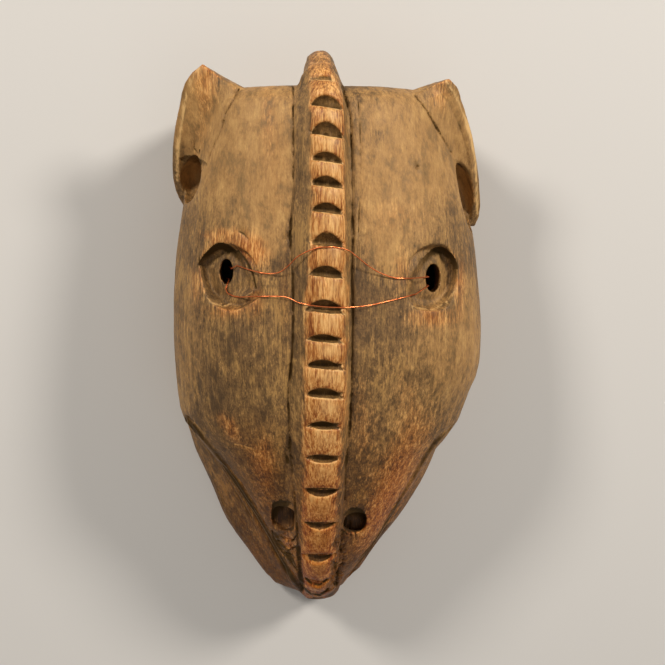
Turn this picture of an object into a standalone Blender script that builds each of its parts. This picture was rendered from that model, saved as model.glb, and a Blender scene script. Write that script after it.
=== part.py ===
"""A carved wooden armadillo mask, lying face up on its back rim, with its fine copper hanging wire.

Metres, +Z up out of the face, +Y towards the crown, +X to the right of someone who looks down on the face.
The origin lies on the resting plane, in the middle of the mask's length and width.
"""

import math

import bmesh
import bpy
from mathutils import Matrix, Vector

# The head, measured from the crest line: overall sizes
HEAD_LENGTH = 0.271
LEFT_HALF_WIDTH = 0.075
RIGHT_HALF_WIDTH = 0.0855
HEAD_DEPTH = 0.109
CROWN_EDGE_RADIUS = 0.009
MOUTH_HEIGHT = 0.043
FACE_FULLNESS = 2.2
JAW_FLARE_SHARE = 0.72
FACE_STEPS = 14
RIM_STEPS = 7
EDGE_STEPS = 4
HEAD_STATIONS = 36
STATION_CROWDING = 1.25
SMOOTH_ANGLE = math.radians(35.0)

# Places on the face are measured from a zero on the crest line, this far from the crown wall
ZERO_TO_CROWN = 0.122

# The hollow behind the face
SIDE_WALL = 0.011
FACE_WALL = 0.0135
CROWN_WALL = 0.013
SNOUT_SOLID_LENGTH = 0.034
HOLLOW_FULLNESS = 2.6
HOLLOW_STATIONS = 20
HOLLOW_STEPS = 24
HOLLOW_CROWN_ROUNDING = (0.12, 0.80)
HOLLOW_SNOUT_ROUNDING = (0.14, 0.45)
HOLLOW_DEPTH_KEPT = 0.35
HOLLOW_BELOW_RIM = 0.008

# The crest that runs from the crown to the snout
CREST_RISE = 0.0100
CREST_RISE_SNOUT = 0.0082
CREST_TOP_DROP = 0.0036
CREST_ROOT = 0.0070
CREST_ROOT_OVERLAP = 0.0008
CREST_LOWERING = (0.30, 0.25)
CREST_TOP_SHARES = (0.045, 0.16, 0.28, 0.40, 0.52, 0.64, 0.74, 0.83, 0.90, 0.955)
CREST_SNOUT_KNOTS = ((0.990, 0.355), (0.992, 0.25))
CREST_STATIONS = 64
CREST_TOP_STEPS = 8
PROW_REACH = 0.0180
PROW_KNOTS = ((0.95, 0.62), (1.0, 0.70), (0.90, 0.81), (0.40, 0.93))
PROW_STATIONS = 9
NOTCH_DEPTH = 0.0040
NOTCH_FULL_HEIGHT = 0.005
NOTCH_REACH = 0.016
NOTCH_SPREAD = 1.7

# The eyes
SOCKET_DEPTH = 0.0062
SOCKET_CENTRE_DEPTH = 0.0034
SOCKET_WALL_SLOPE = 0.84
SOCKET_STEPS = 14
SOCKET_POINTEDNESS = 2.4
CUT_ABOVE = 0.008
HOLE_STEPS = 24
PLUG_ABOVE = 0.02
PLUG_BELOW = 0.05
LEFT_EYE = (-0.0465, 0.0335)
LEFT_SOCKET = (-0.0463, 0.0306)
LEFT_SOCKET_SIZE = (0.0212, 0.0152, 0.0168)
LEFT_SOCKET_TURN = math.radians(158.0)
LEFT_EYE_HOLE = (0.0064, 0.0122)
RIGHT_EYE = (0.0535, 0.0300)
RIGHT_SOCKET = (0.0533, 0.0308)
RIGHT_SOCKET_SIZE = (0.0190, 0.0162, 0.0176)
RIGHT_SOCKET_TURN = math.radians(55.0)
RIGHT_EYE_HOLE = (0.0082, 0.0138)

# The nostrils: centre, width, length, depth, and how square the corners are
LEFT_NOSTRIL = (-0.0191, -0.0925, 0.0112, 0.0152, 0.0085, 3.6)
RIGHT_NOSTRIL = (0.0170, -0.0952, 0.0122, 0.0124, 0.0105, 2.4)

# The mouth line between the snout and the lower jaw
MOUTH_GROOVE_DEPTH = 0.0046
MOUTH_GROOVE_HEIGHT = 0.0042
MOUTH_GROOVE_REACH = 0.004
MOUTH_SHARES = (0.612, 0.63, 0.65, 0.675, 0.70, 0.74, 0.78, 0.82, 0.86, 0.90, 0.935, 0.965, 0.985)

# The ears
EAR_RIM_THICKNESS = 0.0040
EAR_BLADE_DEPTH = 0.024
EAR_CUP_DEPTH = 0.0030
EAR_STATIONS = 15
EAR_BURIED = (0.010, 0.004)
PIT_SUBDIVISIONS = 3

# The hanging wire: its inside strands run this far below the face at the eyes
WIRE_DIAMETER = 0.0006
WIRE_CLEARANCE = 0.0005
WIRE_INSIDE_DROP = 0.0265
WIRE_HOLE_RANGE = (0.0225, 0.0110, 0.0005)
WIRE_SLACK = 0.00022
HOLE_FACET_ALLOWANCE = 0.0001
STRAND_STEPS = 60

# Profiles along the head: share of the way from crown to snout tip, then share of the overall size
LEFT_FACE = ((0.0, 0.80), (0.118, 0.87), (0.229, 0.935), (0.321, 0.98), (0.45, 1.0), (0.528, 0.99),
             (0.59, 0.968), (0.622, 0.93), (0.65, 0.85), (0.69, 0.727), (0.742, 0.60), (0.79, 0.485),
             (0.838, 0.39), (0.867, 0.335), (0.923, 0.236), (0.965, 0.16), (1.0, 0.10))
LEFT_JAW = ((0.0, 0.75), (0.229, 0.905), (0.45, 0.98), (0.59, 0.965), (0.625, 0.955), (0.70, 0.885),
            (0.752, 0.80), (0.857, 0.64), (0.908, 0.52), (0.955, 0.41), (0.98, 0.34), (0.993, 0.265),
            (1.0, 0.19))
RIGHT_FACE = ((0.0, 0.74), (0.118, 0.835), (0.229, 0.924), (0.321, 0.97), (0.45, 1.0), (0.513, 0.995),
              (0.568, 0.93), (0.60, 0.895), (0.632, 0.85), (0.665, 0.755), (0.705, 0.674), (0.753, 0.585),
              (0.82, 0.452), (0.877, 0.347), (0.904, 0.278), (0.945, 0.195), (0.97, 0.14), (1.0, 0.09))
RIGHT_JAW = ((0.0, 0.70), (0.229, 0.895), (0.45, 0.98), (0.568, 0.925), (0.632, 0.88), (0.70, 0.81),
             (0.766, 0.72), (0.826, 0.605), (0.898, 0.425), (0.952, 0.315), (0.982, 0.25), (0.994, 0.205),
             (1.0, 0.15))
RIDGE = ((0.0, 0.915), (0.08, 0.955), (0.218, 0.985), (0.38, 1.0), (0.45, 1.0), (0.542, 0.965),
         (0.653, 0.89), (0.727, 0.817), (0.793, 0.734), (0.867, 0.624), (0.93, 0.505), (0.967, 0.40),
         (1.0, 0.30))
MOUTH_LINE = ((0.0, 1.0), (0.80, 1.0), (0.87, 0.975), (0.93, 0.88), (0.975, 0.70), (1.0, 0.52))

# Crest widths either side of its line: share along its top, top left, top right, root left, root right
CREST_WIDTHS = ((0.0, 0.0050, 0.0050, 0.0065, 0.0065), (0.07, 0.0052, 0.0052, 0.0070, 0.0070),
                (0.12, 0.0070, 0.0070, 0.0140, 0.0105), (0.20, 0.0072, 0.0082, 0.0155, 0.0110),
                (0.42, 0.0074, 0.0084, 0.0160, 0.0125), (0.52, 0.0098, 0.0092, 0.0165, 0.0125),
                (0.72, 0.0100, 0.0090, 0.0175, 0.0115), (0.88, 0.0085, 0.0085, 0.0140, 0.0105),
                (1.0, 0.0060, 0.0060, 0.0075, 0.0075))

# Notches: place along the mask from the crest line's zero, height, and slant from left to right
NOTCHES = ((0.1245, 0.0026, 0.0), (0.1120, 0.0068, 0.14), (0.0982, 0.0076, 0.16), (0.0864, 0.0056, 0.14),
           (0.0754, 0.0052, 0.12), (0.0632, 0.0050, 0.08), (0.0481, 0.0068, 0.08), (0.0338, 0.0052, 0.06),
           (0.0176, 0.0060, 0.04), (0.0030, 0.0038, 0.0), (-0.0094, 0.0044, 0.0), (-0.0236, 0.0048, 0.0),
           (-0.0389, 0.0038, 0.02), (-0.0559, 0.0042, 0.02), (-0.0743, 0.0048, 0.0),
           (-0.0932, 0.0044, 0.0), (-0.1128, 0.0052, 0.0), (-0.1290, 0.0036, 0.0), (-0.1385, 0.0034, 0.0))

# Each ear from its lobe to its tip: the rim, then the line where the blade leaves the head
LEFT_EAR_RIM = ((-0.0690, 0.0650, 0.040), (-0.0722, 0.0710, 0.046), (-0.0738, 0.0800, 0.051),
                (-0.0731, 0.0930, 0.059), (-0.0700, 0.1100, 0.067), (-0.0645, 0.1252, 0.074),
                (-0.0572, 0.1328, 0.078))
LEFT_EAR_ROOT = ((-0.0600, 0.0660, 0.044), (-0.0590, 0.0730, 0.054), (-0.0560, 0.0840, 0.066),
                 (-0.0510, 0.0955, 0.076), (-0.0450, 0.1095, 0.083), (-0.0390, 0.1165, 0.086),
                 (-0.0400, 0.1195, 0.085))
RIGHT_EAR_RIM = ((0.0835, 0.0545, 0.040), (0.0850, 0.0610, 0.045), (0.0838, 0.0740, 0.050),
                 (0.0790, 0.0950, 0.059), (0.0740, 0.1090, 0.066), (0.0680, 0.1205, 0.073),
                 (0.0608, 0.1268, 0.078))
RIGHT_EAR_ROOT = ((0.0700, 0.0560, 0.044), (0.0690, 0.0640, 0.053), (0.0660, 0.0780, 0.066),
                  (0.0600, 0.0930, 0.077), (0.0530, 0.1060, 0.084), (0.0450, 0.1145, 0.087),
                  (0.0440, 0.1180, 0.085))

# Deep hollows at the ear roots: centre, half width, half length, half depth
LEFT_EAR_HOLLOW = ((-0.0618, 0.0785, 0.060), (0.0094, 0.0132, 0.0165))
RIGHT_EAR_HOLLOW = ((0.0738, 0.0690, 0.059), (0.0080, 0.0190, 0.0165))
LEFT_HOLLOW_LEAN = math.radians(-24.0)
RIGHT_HOLLOW_LEAN = math.radians(16.0)

# The wire's two front strands across the face, between the rims of the eye sockets
UPPER_STRAND = ((-0.0330, 0.0338), (-0.0270, 0.0328), (-0.0215, 0.0340), (-0.0150, 0.0400),
                (-0.0070, 0.0446), (0.0010, 0.0452), (0.0085, 0.0438), (0.0135, 0.0405),
                (0.0205, 0.0350), (0.0280, 0.0312), (0.0350, 0.0294), (0.0405, 0.0298))
LOWER_STRAND = ((-0.0360, 0.0225), (-0.0290, 0.0230), (-0.0200, 0.0226), (-0.0110, 0.0198),
                (-0.0020, 0.0178), (0.0070, 0.0172), (0.0160, 0.0178), (0.0240, 0.0196),
                (0.0310, 0.0212), (0.0385, 0.0232), (0.0415, 0.0243))

# Where the wire passes each eye hole, above and below the eye's middle
LEFT_PASSES = (0.0015, -0.0030)
RIGHT_PASSES = (0.0010, -0.0035)

# The wire's way inside: share of the way between the eyes, offset along the mask, drop below its level
FIRST_END = ((0.595, -0.0020, 0.0050), (0.505, -0.0020, 0.0030), (0.265, -0.0020, 0.0),
             (0.105, 0.0015, -0.0005))
INSIDE_STRAND = ((0.865, -0.0055, 0.0), (0.645, -0.0075, 0.0010), (0.345, -0.0080, 0.0010),
                 (0.105, -0.0030, 0.0))
LAST_END = ((0.865, -0.0070, 0.0020), (0.665, -0.0044, 0.0010), (0.550, -0.0044, 0.0030),
            (0.465, -0.0044, 0.0060))


def clear_scene():
    """Remove every object that the file opened with."""
    for thing in list(bpy.data.objects):
        bpy.data.objects.remove(thing, do_unlink=True)


def profile(knots, share, column=1):
    """Read a smooth profile at a share of the way, without overshooting its knots."""
    share = min(max(share, knots[0][0]), knots[-1][0])
    steps = [(b[column] - a[column]) / (b[0] - a[0]) for a, b in zip(knots, knots[1:])]
    slopes = [steps[0]]
    for before, after in zip(steps, steps[1:]):
        slopes.append(2.0 * before * after / (before + after) if before * after > 0.0 else 0.0)
    slopes.append(steps[-1])
    for index, (a, b) in enumerate(zip(knots, knots[1:])):
        if share <= b[0]:
            width = b[0] - a[0]
            t = (share - a[0]) / width
            return ((2 * t**3 - 3 * t**2 + 1) * a[column] + (t**3 - 2 * t**2 + t) * width * slopes[index]
                    + (3 * t**2 - 2 * t**3) * b[column] + (t**3 - t**2) * width * slopes[index + 1])
    return knots[-1][column]


def curve_through(points, count):
    """Space points evenly along a smooth curve through the given ones."""
    points = [Vector(p) for p in points]
    ends = [points[0] * 2 - points[1]] + points + [points[-1] * 2 - points[-2]]
    fine = []
    for a, b, c, d in zip(ends, ends[1:], ends[2:], ends[3:]):
        for step in range(12):
            t = step / 12
            fine.append(0.5 * (2 * b + (c - a) * t + (2 * a - 5 * b + 4 * c - d) * t**2
                               + (3 * b - a - 3 * c + d) * t**3))
    fine.append(points[-1])
    lengths = [0.0]
    for a, b in zip(fine, fine[1:]):
        lengths.append(lengths[-1] + (b - a).length)
    spaced = []
    index = 0
    for number in range(count):
        target = lengths[-1] * number / (count - 1)
        while index < len(lengths) - 2 and lengths[index + 1] < target:
            index += 1
        span = lengths[index + 1] - lengths[index]
        spaced.append(fine[index].lerp(fine[index + 1], (target - lengths[index]) / span))
    return spaced


def share_along(y):
    """Turn a place on the crest line, measured from the crest line's zero, into a share of the head."""
    return (ZERO_TO_CROWN - y) / HEAD_LENGTH


def place_along(share):
    """Turn a share of the head into a place on the crest line."""
    return ZERO_TO_CROWN - share * HEAD_LENGTH


def ridge_height(share):
    """Height of the head under the crest."""
    return HEAD_DEPTH * profile(RIDGE, share)


def mouth_height(share):
    """Height of the mouth line, which dips where the snout ends."""
    return MOUTH_HEIGHT * profile(MOUTH_LINE, share)


def half_width(share, side):
    """Half width of the face at the mouth's height, on the left (-1) or the right (+1)."""
    if side < 0:
        return LEFT_HALF_WIDTH * profile(LEFT_FACE, share)
    return RIGHT_HALF_WIDTH * profile(RIGHT_FACE, share)


def jaw_half_width(share, side):
    """Half width of the back rim, where the lower jaw flares out beside the snout."""
    if side < 0:
        return LEFT_HALF_WIDTH * profile(LEFT_JAW, share)
    return RIGHT_HALF_WIDTH * profile(RIGHT_JAW, share)


def face_height(x, y):
    """Height of the carved face at a place, without crest or carving."""
    share = share_along(y)
    low = mouth_height(share)
    across = min(abs(x) / half_width(share, 1 if x > 0 else -1), 0.999)
    return low + (ridge_height(share) - low) * (1 - across**FACE_FULLNESS) ** (1 / FACE_FULLNESS)


def face_normal(x, y):
    """Direction straight out of the face at a place."""
    step = 0.002
    slope_x = (face_height(x + step, y) - face_height(x - step, y)) / (2 * step)
    slope_y = (face_height(x, y + step) - face_height(x, y - step)) / (2 * step)
    return Vector((-slope_x, -slope_y, 1.0)).normalized()


def head_half_section(share, side, inset):
    """Points from just beside the ridge down one side of the head to its back rim."""
    low = mouth_height(share)
    high = ridge_height(share) - inset
    wide = half_width(share, side) - inset
    jaw = jaw_half_width(share, side) - inset
    points = []
    for step in range(1, FACE_STEPS + 1):
        angle = math.pi / 2 * step / FACE_STEPS
        points.append((side * wide * math.sin(angle) ** (2 / FACE_FULLNESS),
                       low + (high - low) * max(math.cos(angle), 0.0) ** (2 / FACE_FULLNESS)))
    for step in range(1, RIM_STEPS + 1):
        t = step / RIM_STEPS
        ease = min(1.0, t / JAW_FLARE_SHARE)
        ease = ease * ease * (3 - 2 * ease)
        points.append((side * (wide + (jaw - wide) * ease), low * (1 - t)))
    return points


def part_place():
    """Where the zero on the crest line lies, so that the part's origin is in the middle of its outline."""
    crest_line_x = (LEFT_HALF_WIDTH - RIGHT_HALF_WIDTH) / 2
    crown_wall_y = (HEAD_LENGTH - PROW_REACH) / 2
    return crest_line_x, crown_wall_y - ZERO_TO_CROWN, 0.0


def new_object(name, mesh_data, shade=None):
    """Link a mesh object, shaded smooth with its sharp edges kept if an angle is given."""
    thing = bpy.data.objects.new(name, mesh_data)
    thing.location = part_place()
    bpy.context.collection.objects.link(thing)
    if shade is not None:
        mesh_data.shade_smooth()
        mesh_data.set_sharp_from_angle(angle=shade)
    return thing


def loft(name, rings, shade=None):
    """Join rings of points into one closed body with filled ends."""
    mesh = bmesh.new()
    rows = [[mesh.verts.new(point) for point in ring] for ring in rings]
    count = len(rows[0])
    for row, following in zip(rows, rows[1:]):
        for index in range(count):
            after = (index + 1) % count
            mesh.faces.new((row[index], row[after], following[after], following[index]))
    mesh.faces.new(list(reversed(rows[0])))
    mesh.faces.new(rows[-1])
    bmesh.ops.recalc_face_normals(mesh, faces=mesh.faces)
    data = bpy.data.meshes.new(name)
    mesh.to_mesh(data)
    mesh.free()
    return new_object(name, data, shade)


def as_tool(thing):
    """Hide a cutter or a joined-on shape from renders and show it as wires."""
    thing.hide_render = True
    thing.display_type = "WIRE"
    return thing


def combine(target, tool, operation):
    """Add one joining or cutting step to a body, keeping it closed at the ears' deep pits."""
    step = target.modifiers.new(tool.name, "BOOLEAN")
    step.operation = operation
    step.solver = "MANIFOLD"
    step.object = as_tool(tool)


def head_blank():
    """The head's outside, from the rounded crown edge to the snout tip."""
    rings = []
    for step in range(EDGE_STEPS):
        angle = math.pi / 2 * step / EDGE_STEPS
        y = ZERO_TO_CROWN - CROWN_EDGE_RADIUS * (1 - math.cos(angle))
        inset = CROWN_EDGE_RADIUS * (1 - math.sin(angle))
        rings.append((y, inset))
    first = share_along(ZERO_TO_CROWN - CROWN_EDGE_RADIUS)
    for step in range(HEAD_STATIONS + 1):
        share = first + (1.0 - first) * (1 - (1 - step / HEAD_STATIONS) ** STATION_CROWDING)
        rings.append((place_along(share), 0.0))
    sections = []
    for y, inset in rings:
        share = share_along(y)
        left = head_half_section(share, -1, inset)
        right = head_half_section(share, 1, inset)
        top = [(0.0, ridge_height(share) - inset)]
        outline = list(reversed(left)) + top + right
        sections.append([(x, y, z) for x, z in outline])
    return loft("mask", sections, SMOOTH_ANGLE)


def hollow_cutter():
    """The hollow for the wearer's face, open at the back."""
    start = share_along(ZERO_TO_CROWN - CROWN_WALL)
    end = share_along(ZERO_TO_CROWN - HEAD_LENGTH + SNOUT_SOLID_LENGTH)
    crown_span, crown_start = HOLLOW_CROWN_ROUNDING
    snout_span, snout_end = HOLLOW_SNOUT_ROUNDING
    sections = []
    for step in range(HOLLOW_STATIONS + 1):
        t = step / HOLLOW_STATIONS
        share = start + (end - start) * t
        rounding = 1.0
        if t < crown_span:
            rounding = crown_start + (1 - crown_start) * math.sqrt(1 - (1 - t / crown_span) ** 2)
        if t > 1 - snout_span:
            left_over = (t - 1 + snout_span) / snout_span
            rounding = snout_end + (1 - snout_end) * math.sqrt(1 - left_over**2)
        high = ridge_height(share) - FACE_WALL
        high *= HOLLOW_DEPTH_KEPT + (1 - HOLLOW_DEPTH_KEPT) * rounding
        outline = []
        for index in range(HOLLOW_STEPS + 1):
            angle = math.pi * index / HOLLOW_STEPS
            side = -1 if index < HOLLOW_STEPS / 2 else 1
            wide = (half_width(share, side) - SIDE_WALL) * rounding
            across = abs(math.cos(angle)) ** (2 / HOLLOW_FULLNESS)
            outline.append((side * wide * across, high * math.sin(angle) ** (2 / HOLLOW_FULLNESS)))
        outline = [(outline[0][0], -HOLLOW_BELOW_RIM)] + outline + [(outline[-1][0], -HOLLOW_BELOW_RIM)]
        sections.append([(x, place_along(share), z) for x, z in outline])
    return loft("hollow", sections)


def crest_rise(share):
    """Height of the crest above the head."""
    start, span = CREST_LOWERING
    return CREST_RISE + (CREST_RISE_SNOUT - CREST_RISE) * min(1.0, max(0.0, (share - start) / span))


def crest_line():
    """Points along the middle of the crest's top, from under its overhang to the snout."""
    knots = [(ZERO_TO_CROWN + reach * PROW_REACH, height * HEAD_DEPTH) for reach, height in PROW_KNOTS]
    knots += [(place_along(share), ridge_height(share) + crest_rise(share)) for share in CREST_TOP_SHARES]
    knots += [(place_along(share), height * HEAD_DEPTH) for share, height in CREST_SNOUT_KNOTS]
    return curve_through([(0.0, y, z) for y, z in knots], CREST_STATIONS)


def along_and_out(line, index):
    """Directions along a line in the crest's plane and out of it."""
    along = (line[min(index + 1, len(line) - 1)] - line[max(index - 1, 0)]).normalized()
    return along, Vector((0.0, along.z, -along.y))


def crest_body():
    """The crest: a rounded top, a slanting left flank and a steep right one."""
    line = crest_line()
    sections = []
    for index, point in enumerate(line):
        share = index / (len(line) - 1)
        out = along_and_out(line, index)[1]
        top_left, top_right, root_left, root_right = (profile(CREST_WIDTHS, share, c) for c in (1, 2, 3, 4))
        root = -crest_rise(share_along(point.y)) - CREST_ROOT_OVERLAP
        outline = [(-root_left, root - CREST_ROOT), (-root_left, root)]
        for step in range(CREST_TOP_STEPS + 1):
            t = 2 * step / CREST_TOP_STEPS - 1
            across = (top_left if t < 0 else top_right) * t
            outline.append((across, -CREST_TOP_DROP * t * t))
        outline += [(root_right, root), (root_right, root - CREST_ROOT)]
        sections.append([point + Vector((x, 0.0, 0.0)) + out * depth for x, depth in outline])
    return loft("crest", sections)


def notch_cutters():
    """A row of knife cuts across the crest, steep on the snout's side and sloping on the crown's."""
    line = crest_line()
    mesh = bmesh.new()
    for place, height, slant in NOTCHES:
        index = min(range(PROW_STATIONS, len(line)), key=lambda i: abs(line[i].y - place))
        along, out = along_and_out(line, index)
        centre = line[index] + Vector((0.0, place - line[index].y, 0.0))
        centre.z += (place - line[index].y) * along.z / along.y
        steep = 0.30 + 0.35 * min(1.0, max(0.0, (0.02 - place) / 0.12))
        depth = NOTCH_DEPTH * min(1.15, 0.55 + 0.45 * height / NOTCH_FULL_HEIGHT)
        above = out * (depth * (NOTCH_SPREAD - 1))
        crown_side = above - along * (height * (1 - steep) * NOTCH_SPREAD)
        snout_side = above + along * (height * steep * NOTCH_SPREAD)
        bottom = -out * depth
        rows = []
        for side in (-1, 1):
            lean = Vector((side * NOTCH_REACH, 0.0, 0.0)) + along * (slant * side * NOTCH_REACH)
            corners = (bottom, snout_side, crown_side)
            rows.append([mesh.verts.new(centre + lean + corner) for corner in corners])
        near, far = rows
        for a, b in ((0, 1), (1, 2), (2, 0)):
            mesh.faces.new((near[a], near[b], far[b], far[a]))
        mesh.faces.new(list(reversed(near)))
        mesh.faces.new(far)
    bmesh.ops.recalc_face_normals(mesh, faces=mesh.faces)
    data = bpy.data.meshes.new("notches")
    mesh.to_mesh(data)
    mesh.free()
    return new_object("notches", data)


def socket_cutter(name, place, size, turn):
    """An almond recess with a low domed floor, square to the face."""
    centre = Vector((place[0], place[1], face_height(*place)))
    out = face_normal(*place)
    across = Vector((1.0, 0.0, 0.0))
    across = (across - out * across.dot(out)).normalized()
    up = out.cross(across)
    long_half, upper_half, lower_half = size
    outline = []
    for half, sign in ((upper_half, 1), (lower_half, -1)):
        for step in range(SOCKET_STEPS):
            a = math.cos(math.pi * step / SOCKET_STEPS) * sign
            b = sign * half * (1 - abs(a) ** SOCKET_POINTEDNESS)
            outline.append((long_half * a, b))
    turned = [(math.cos(turn) * a - math.sin(turn) * b, math.sin(turn) * a + math.cos(turn) * b)
              for a, b in outline]
    rings = []
    for scale, depth in ((1.22, CUT_ABOVE), (1.0, 0.0), (SOCKET_WALL_SLOPE, -SOCKET_DEPTH),
                         (0.45, -SOCKET_CENTRE_DEPTH - 0.0007), (0.12, -SOCKET_CENTRE_DEPTH)):
        rings.append([centre + across * a * scale + up * b * scale + out * depth for a, b in turned])
    return loft(name, rings)


def oval_cutter(name, centre, size, top, bottom, squareness=2.0):
    """An upright oval or rounded-square plug."""
    rings = []
    for z in (bottom, top):
        ring = []
        for step in range(HOLE_STEPS):
            angle = 2 * math.pi * step / HOLE_STEPS
            c, s = math.cos(angle), math.sin(angle)
            ring.append((centre[0] + size[0] / 2 * math.copysign(abs(c) ** (2 / squareness), c),
                         centre[1] + size[1] / 2 * math.copysign(abs(s) ** (2 / squareness), s), z))
        rings.append(ring)
    return loft(name, rings)


def nostril_cutter(name, nostril):
    """A recess of the nostril's outline and depth."""
    x, y, width, length, depth, squareness = nostril
    surface = face_height(x, y)
    return oval_cutter(name, (x, y), (width, length), surface + PLUG_ABOVE, surface - depth, squareness)


def mouth_cutter():
    """One groove along both sides of the mouth, round the snout's end."""
    path = []
    for side in (-1, 1):
        row = [Vector((side * half_width(share, side), place_along(share), mouth_height(share) - 0.0006))
               for share in MOUTH_SHARES]
        path += row if side < 0 else list(reversed(row))
    path.insert(len(MOUTH_SHARES), Vector((0.0, place_along(1.0) - 0.0005, mouth_height(1.0))))
    sections = []
    for index, point in enumerate(path):
        along = (path[min(index + 1, len(path) - 1)] - path[max(index - 1, 0)]).normalized()
        outward = Vector((-along.y, along.x, 0.0)).normalized()
        if outward.dot(point - Vector((0.0, 0.0, point.z))) < 0.0:
            outward = -outward
        fade = min(1.0, 0.25 + 0.25 * min(index, len(path) - 1 - index))
        tall = Vector((0.0, 0.0, MOUTH_GROOVE_HEIGHT / 2 * fade))
        sections.append([point - outward * MOUTH_GROOVE_DEPTH * fade + tall * 0.6,
                         point + outward * MOUTH_GROOVE_REACH + tall * 1.6,
                         point + outward * MOUTH_GROOVE_REACH - tall * 1.6])
    return loft("mouth_groove", sections)


def ear_body(name, rim_points, root_points, side):
    """A thick cupped leaf that stands out of the crown's corner."""
    rims = curve_through(rim_points, EAR_STATIONS)
    roots = curve_through(root_points, EAR_STATIONS)
    inward = Vector((-side, 0.0, 0.0))
    down = Vector((0.0, 0.0, -1.0))
    sections = []
    for index, (rim, root) in enumerate(zip(rims, roots)):
        share = index / (len(rims) - 1)
        across = root - rim
        cup = EAR_CUP_DEPTH * math.sin(math.pi * min(1.0, 0.15 + share))
        blade = EAR_BLADE_DEPTH * (1 - 0.50 * share**2)
        flat = min(0.25, EAR_RIM_THICKNESS / across.length)
        buried = root + inward * EAR_BURIED[0] + down * EAR_BURIED[1]
        sections.append([rim - inward * 0.0004 + down * 0.0018,
                         rim,
                         rim + across * flat,
                         rim + across * (flat + 0.10) + down * (0.4 * cup + 0.0006),
                         rim + across * 0.55 + down * (cup + 0.0006),
                         rim + across * 0.80 + down * 0.65 * cup,
                         root,
                         buried,
                         buried + down * blade,
                         rim + across * 0.55 + down * blade,
                         rim + across * 0.22 + down * 0.78 * blade,
                         rim + inward * 0.0006 + down * 0.42 * blade])
    return loft(name, sections)


def ear_hollow(name, hollow, lean):
    """A deep pit between the ear's blade and the head."""
    centre, halves = hollow
    mesh = bmesh.new()
    bmesh.ops.create_icosphere(mesh, subdivisions=PIT_SUBDIVISIONS, radius=1.0)
    shape = Matrix.Translation(centre) @ Matrix.Rotation(lean, 4, "Z") @ Matrix.Diagonal((*halves, 1.0))
    bmesh.ops.transform(mesh, matrix=shape, verts=mesh.verts)
    data = bpy.data.meshes.new(name)
    mesh.to_mesh(data)
    mesh.free()
    return new_object(name, data)


def carve_mask():
    """The whole mask in one body."""
    mask = head_blank()
    combine(mask, crest_body(), "UNION")
    combine(mask, ear_body("left_ear", LEFT_EAR_RIM, LEFT_EAR_ROOT, -1), "UNION")
    combine(mask, ear_body("right_ear", RIGHT_EAR_RIM, RIGHT_EAR_ROOT, 1), "UNION")
    combine(mask, hollow_cutter(), "DIFFERENCE")
    combine(mask, ear_hollow("left_ear_hollow", LEFT_EAR_HOLLOW, LEFT_HOLLOW_LEAN), "DIFFERENCE")
    combine(mask, ear_hollow("right_ear_hollow", RIGHT_EAR_HOLLOW, RIGHT_HOLLOW_LEAN), "DIFFERENCE")
    combine(mask, notch_cutters(), "DIFFERENCE")
    for name, place, size, turn in (("left_socket", LEFT_SOCKET, LEFT_SOCKET_SIZE, LEFT_SOCKET_TURN),
                                    ("right_socket", RIGHT_SOCKET, RIGHT_SOCKET_SIZE, RIGHT_SOCKET_TURN)):
        combine(mask, socket_cutter(name, place, size, turn), "DIFFERENCE")
    for name, eye, size in (("left_eye_hole", LEFT_EYE, LEFT_EYE_HOLE),
                            ("right_eye_hole", RIGHT_EYE, RIGHT_EYE_HOLE)):
        surface = face_height(*eye)
        plug = oval_cutter(name, eye, size, surface + PLUG_ABOVE, surface - PLUG_BELOW)
        combine(mask, plug, "DIFFERENCE")
    combine(mask, nostril_cutter("left_nostril", LEFT_NOSTRIL), "DIFFERENCE")
    combine(mask, nostril_cutter("right_nostril", RIGHT_NOSTRIL), "DIFFERENCE")
    combine(mask, mouth_cutter(), "DIFFERENCE")
    return mask


def crest_height(x, y):
    """Height of the crest's surface at a place, or nothing beside it."""
    line = crest_line()
    index = min(range(PROW_STATIONS, len(line)), key=lambda i: abs(line[i].y - y))
    widths = [profile(CREST_WIDTHS, index / (len(line) - 1), c) for c in (1, 2, 3, 4)]
    top, root = (widths[0], widths[2]) if x < 0 else (widths[1], widths[3])
    if abs(x) > root:
        return 0.0
    if abs(x) <= top:
        return line[index].z - CREST_TOP_DROP * (x / top) ** 2
    edge = line[index].z - CREST_TOP_DROP
    foot = line[index].z - crest_rise(share_along(y)) - CREST_ROOT_OVERLAP
    return edge + (foot - edge) * (abs(x) - top) / (root - top)


def laid_strand(places):
    """A strand pulled straight over the face and the crest, a hair's breadth clear of the wood."""
    plan = curve_through([(x, y, 0.0) for x, y in places], STRAND_STEPS)
    lift = WIRE_CLEARANCE + WIRE_DIAMETER / 2
    heights = [max(face_height(p.x, p.y), crest_height(p.x, p.y)) + lift for p in plan]
    taut = list(heights)
    for index in range(len(plan)):
        for before in range(index):
            for after in range(index + 1, len(plan)):
                t = (index - before) / (after - before)
                taut[index] = max(taut[index], heights[before] * (1 - t) + heights[after] * t)
    return [Vector((p.x, p.y, z)) for p, z in zip(plan, taut)]


def thin_out(points, slack):
    """Keep only the points that a line needs to stay within a slack of its course."""
    if len(points) < 3:
        return points
    first, last = points[0], points[-1]
    chord = (last - first).normalized()
    offsets = [((p - first) - chord * (p - first).dot(chord)).length for p in points]
    furthest = max(range(len(points)), key=offsets.__getitem__)
    if offsets[furthest] <= slack:
        return [first, last]
    return thin_out(points[:furthest + 1], slack)[:-1] + thin_out(points[furthest:], slack)


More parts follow.
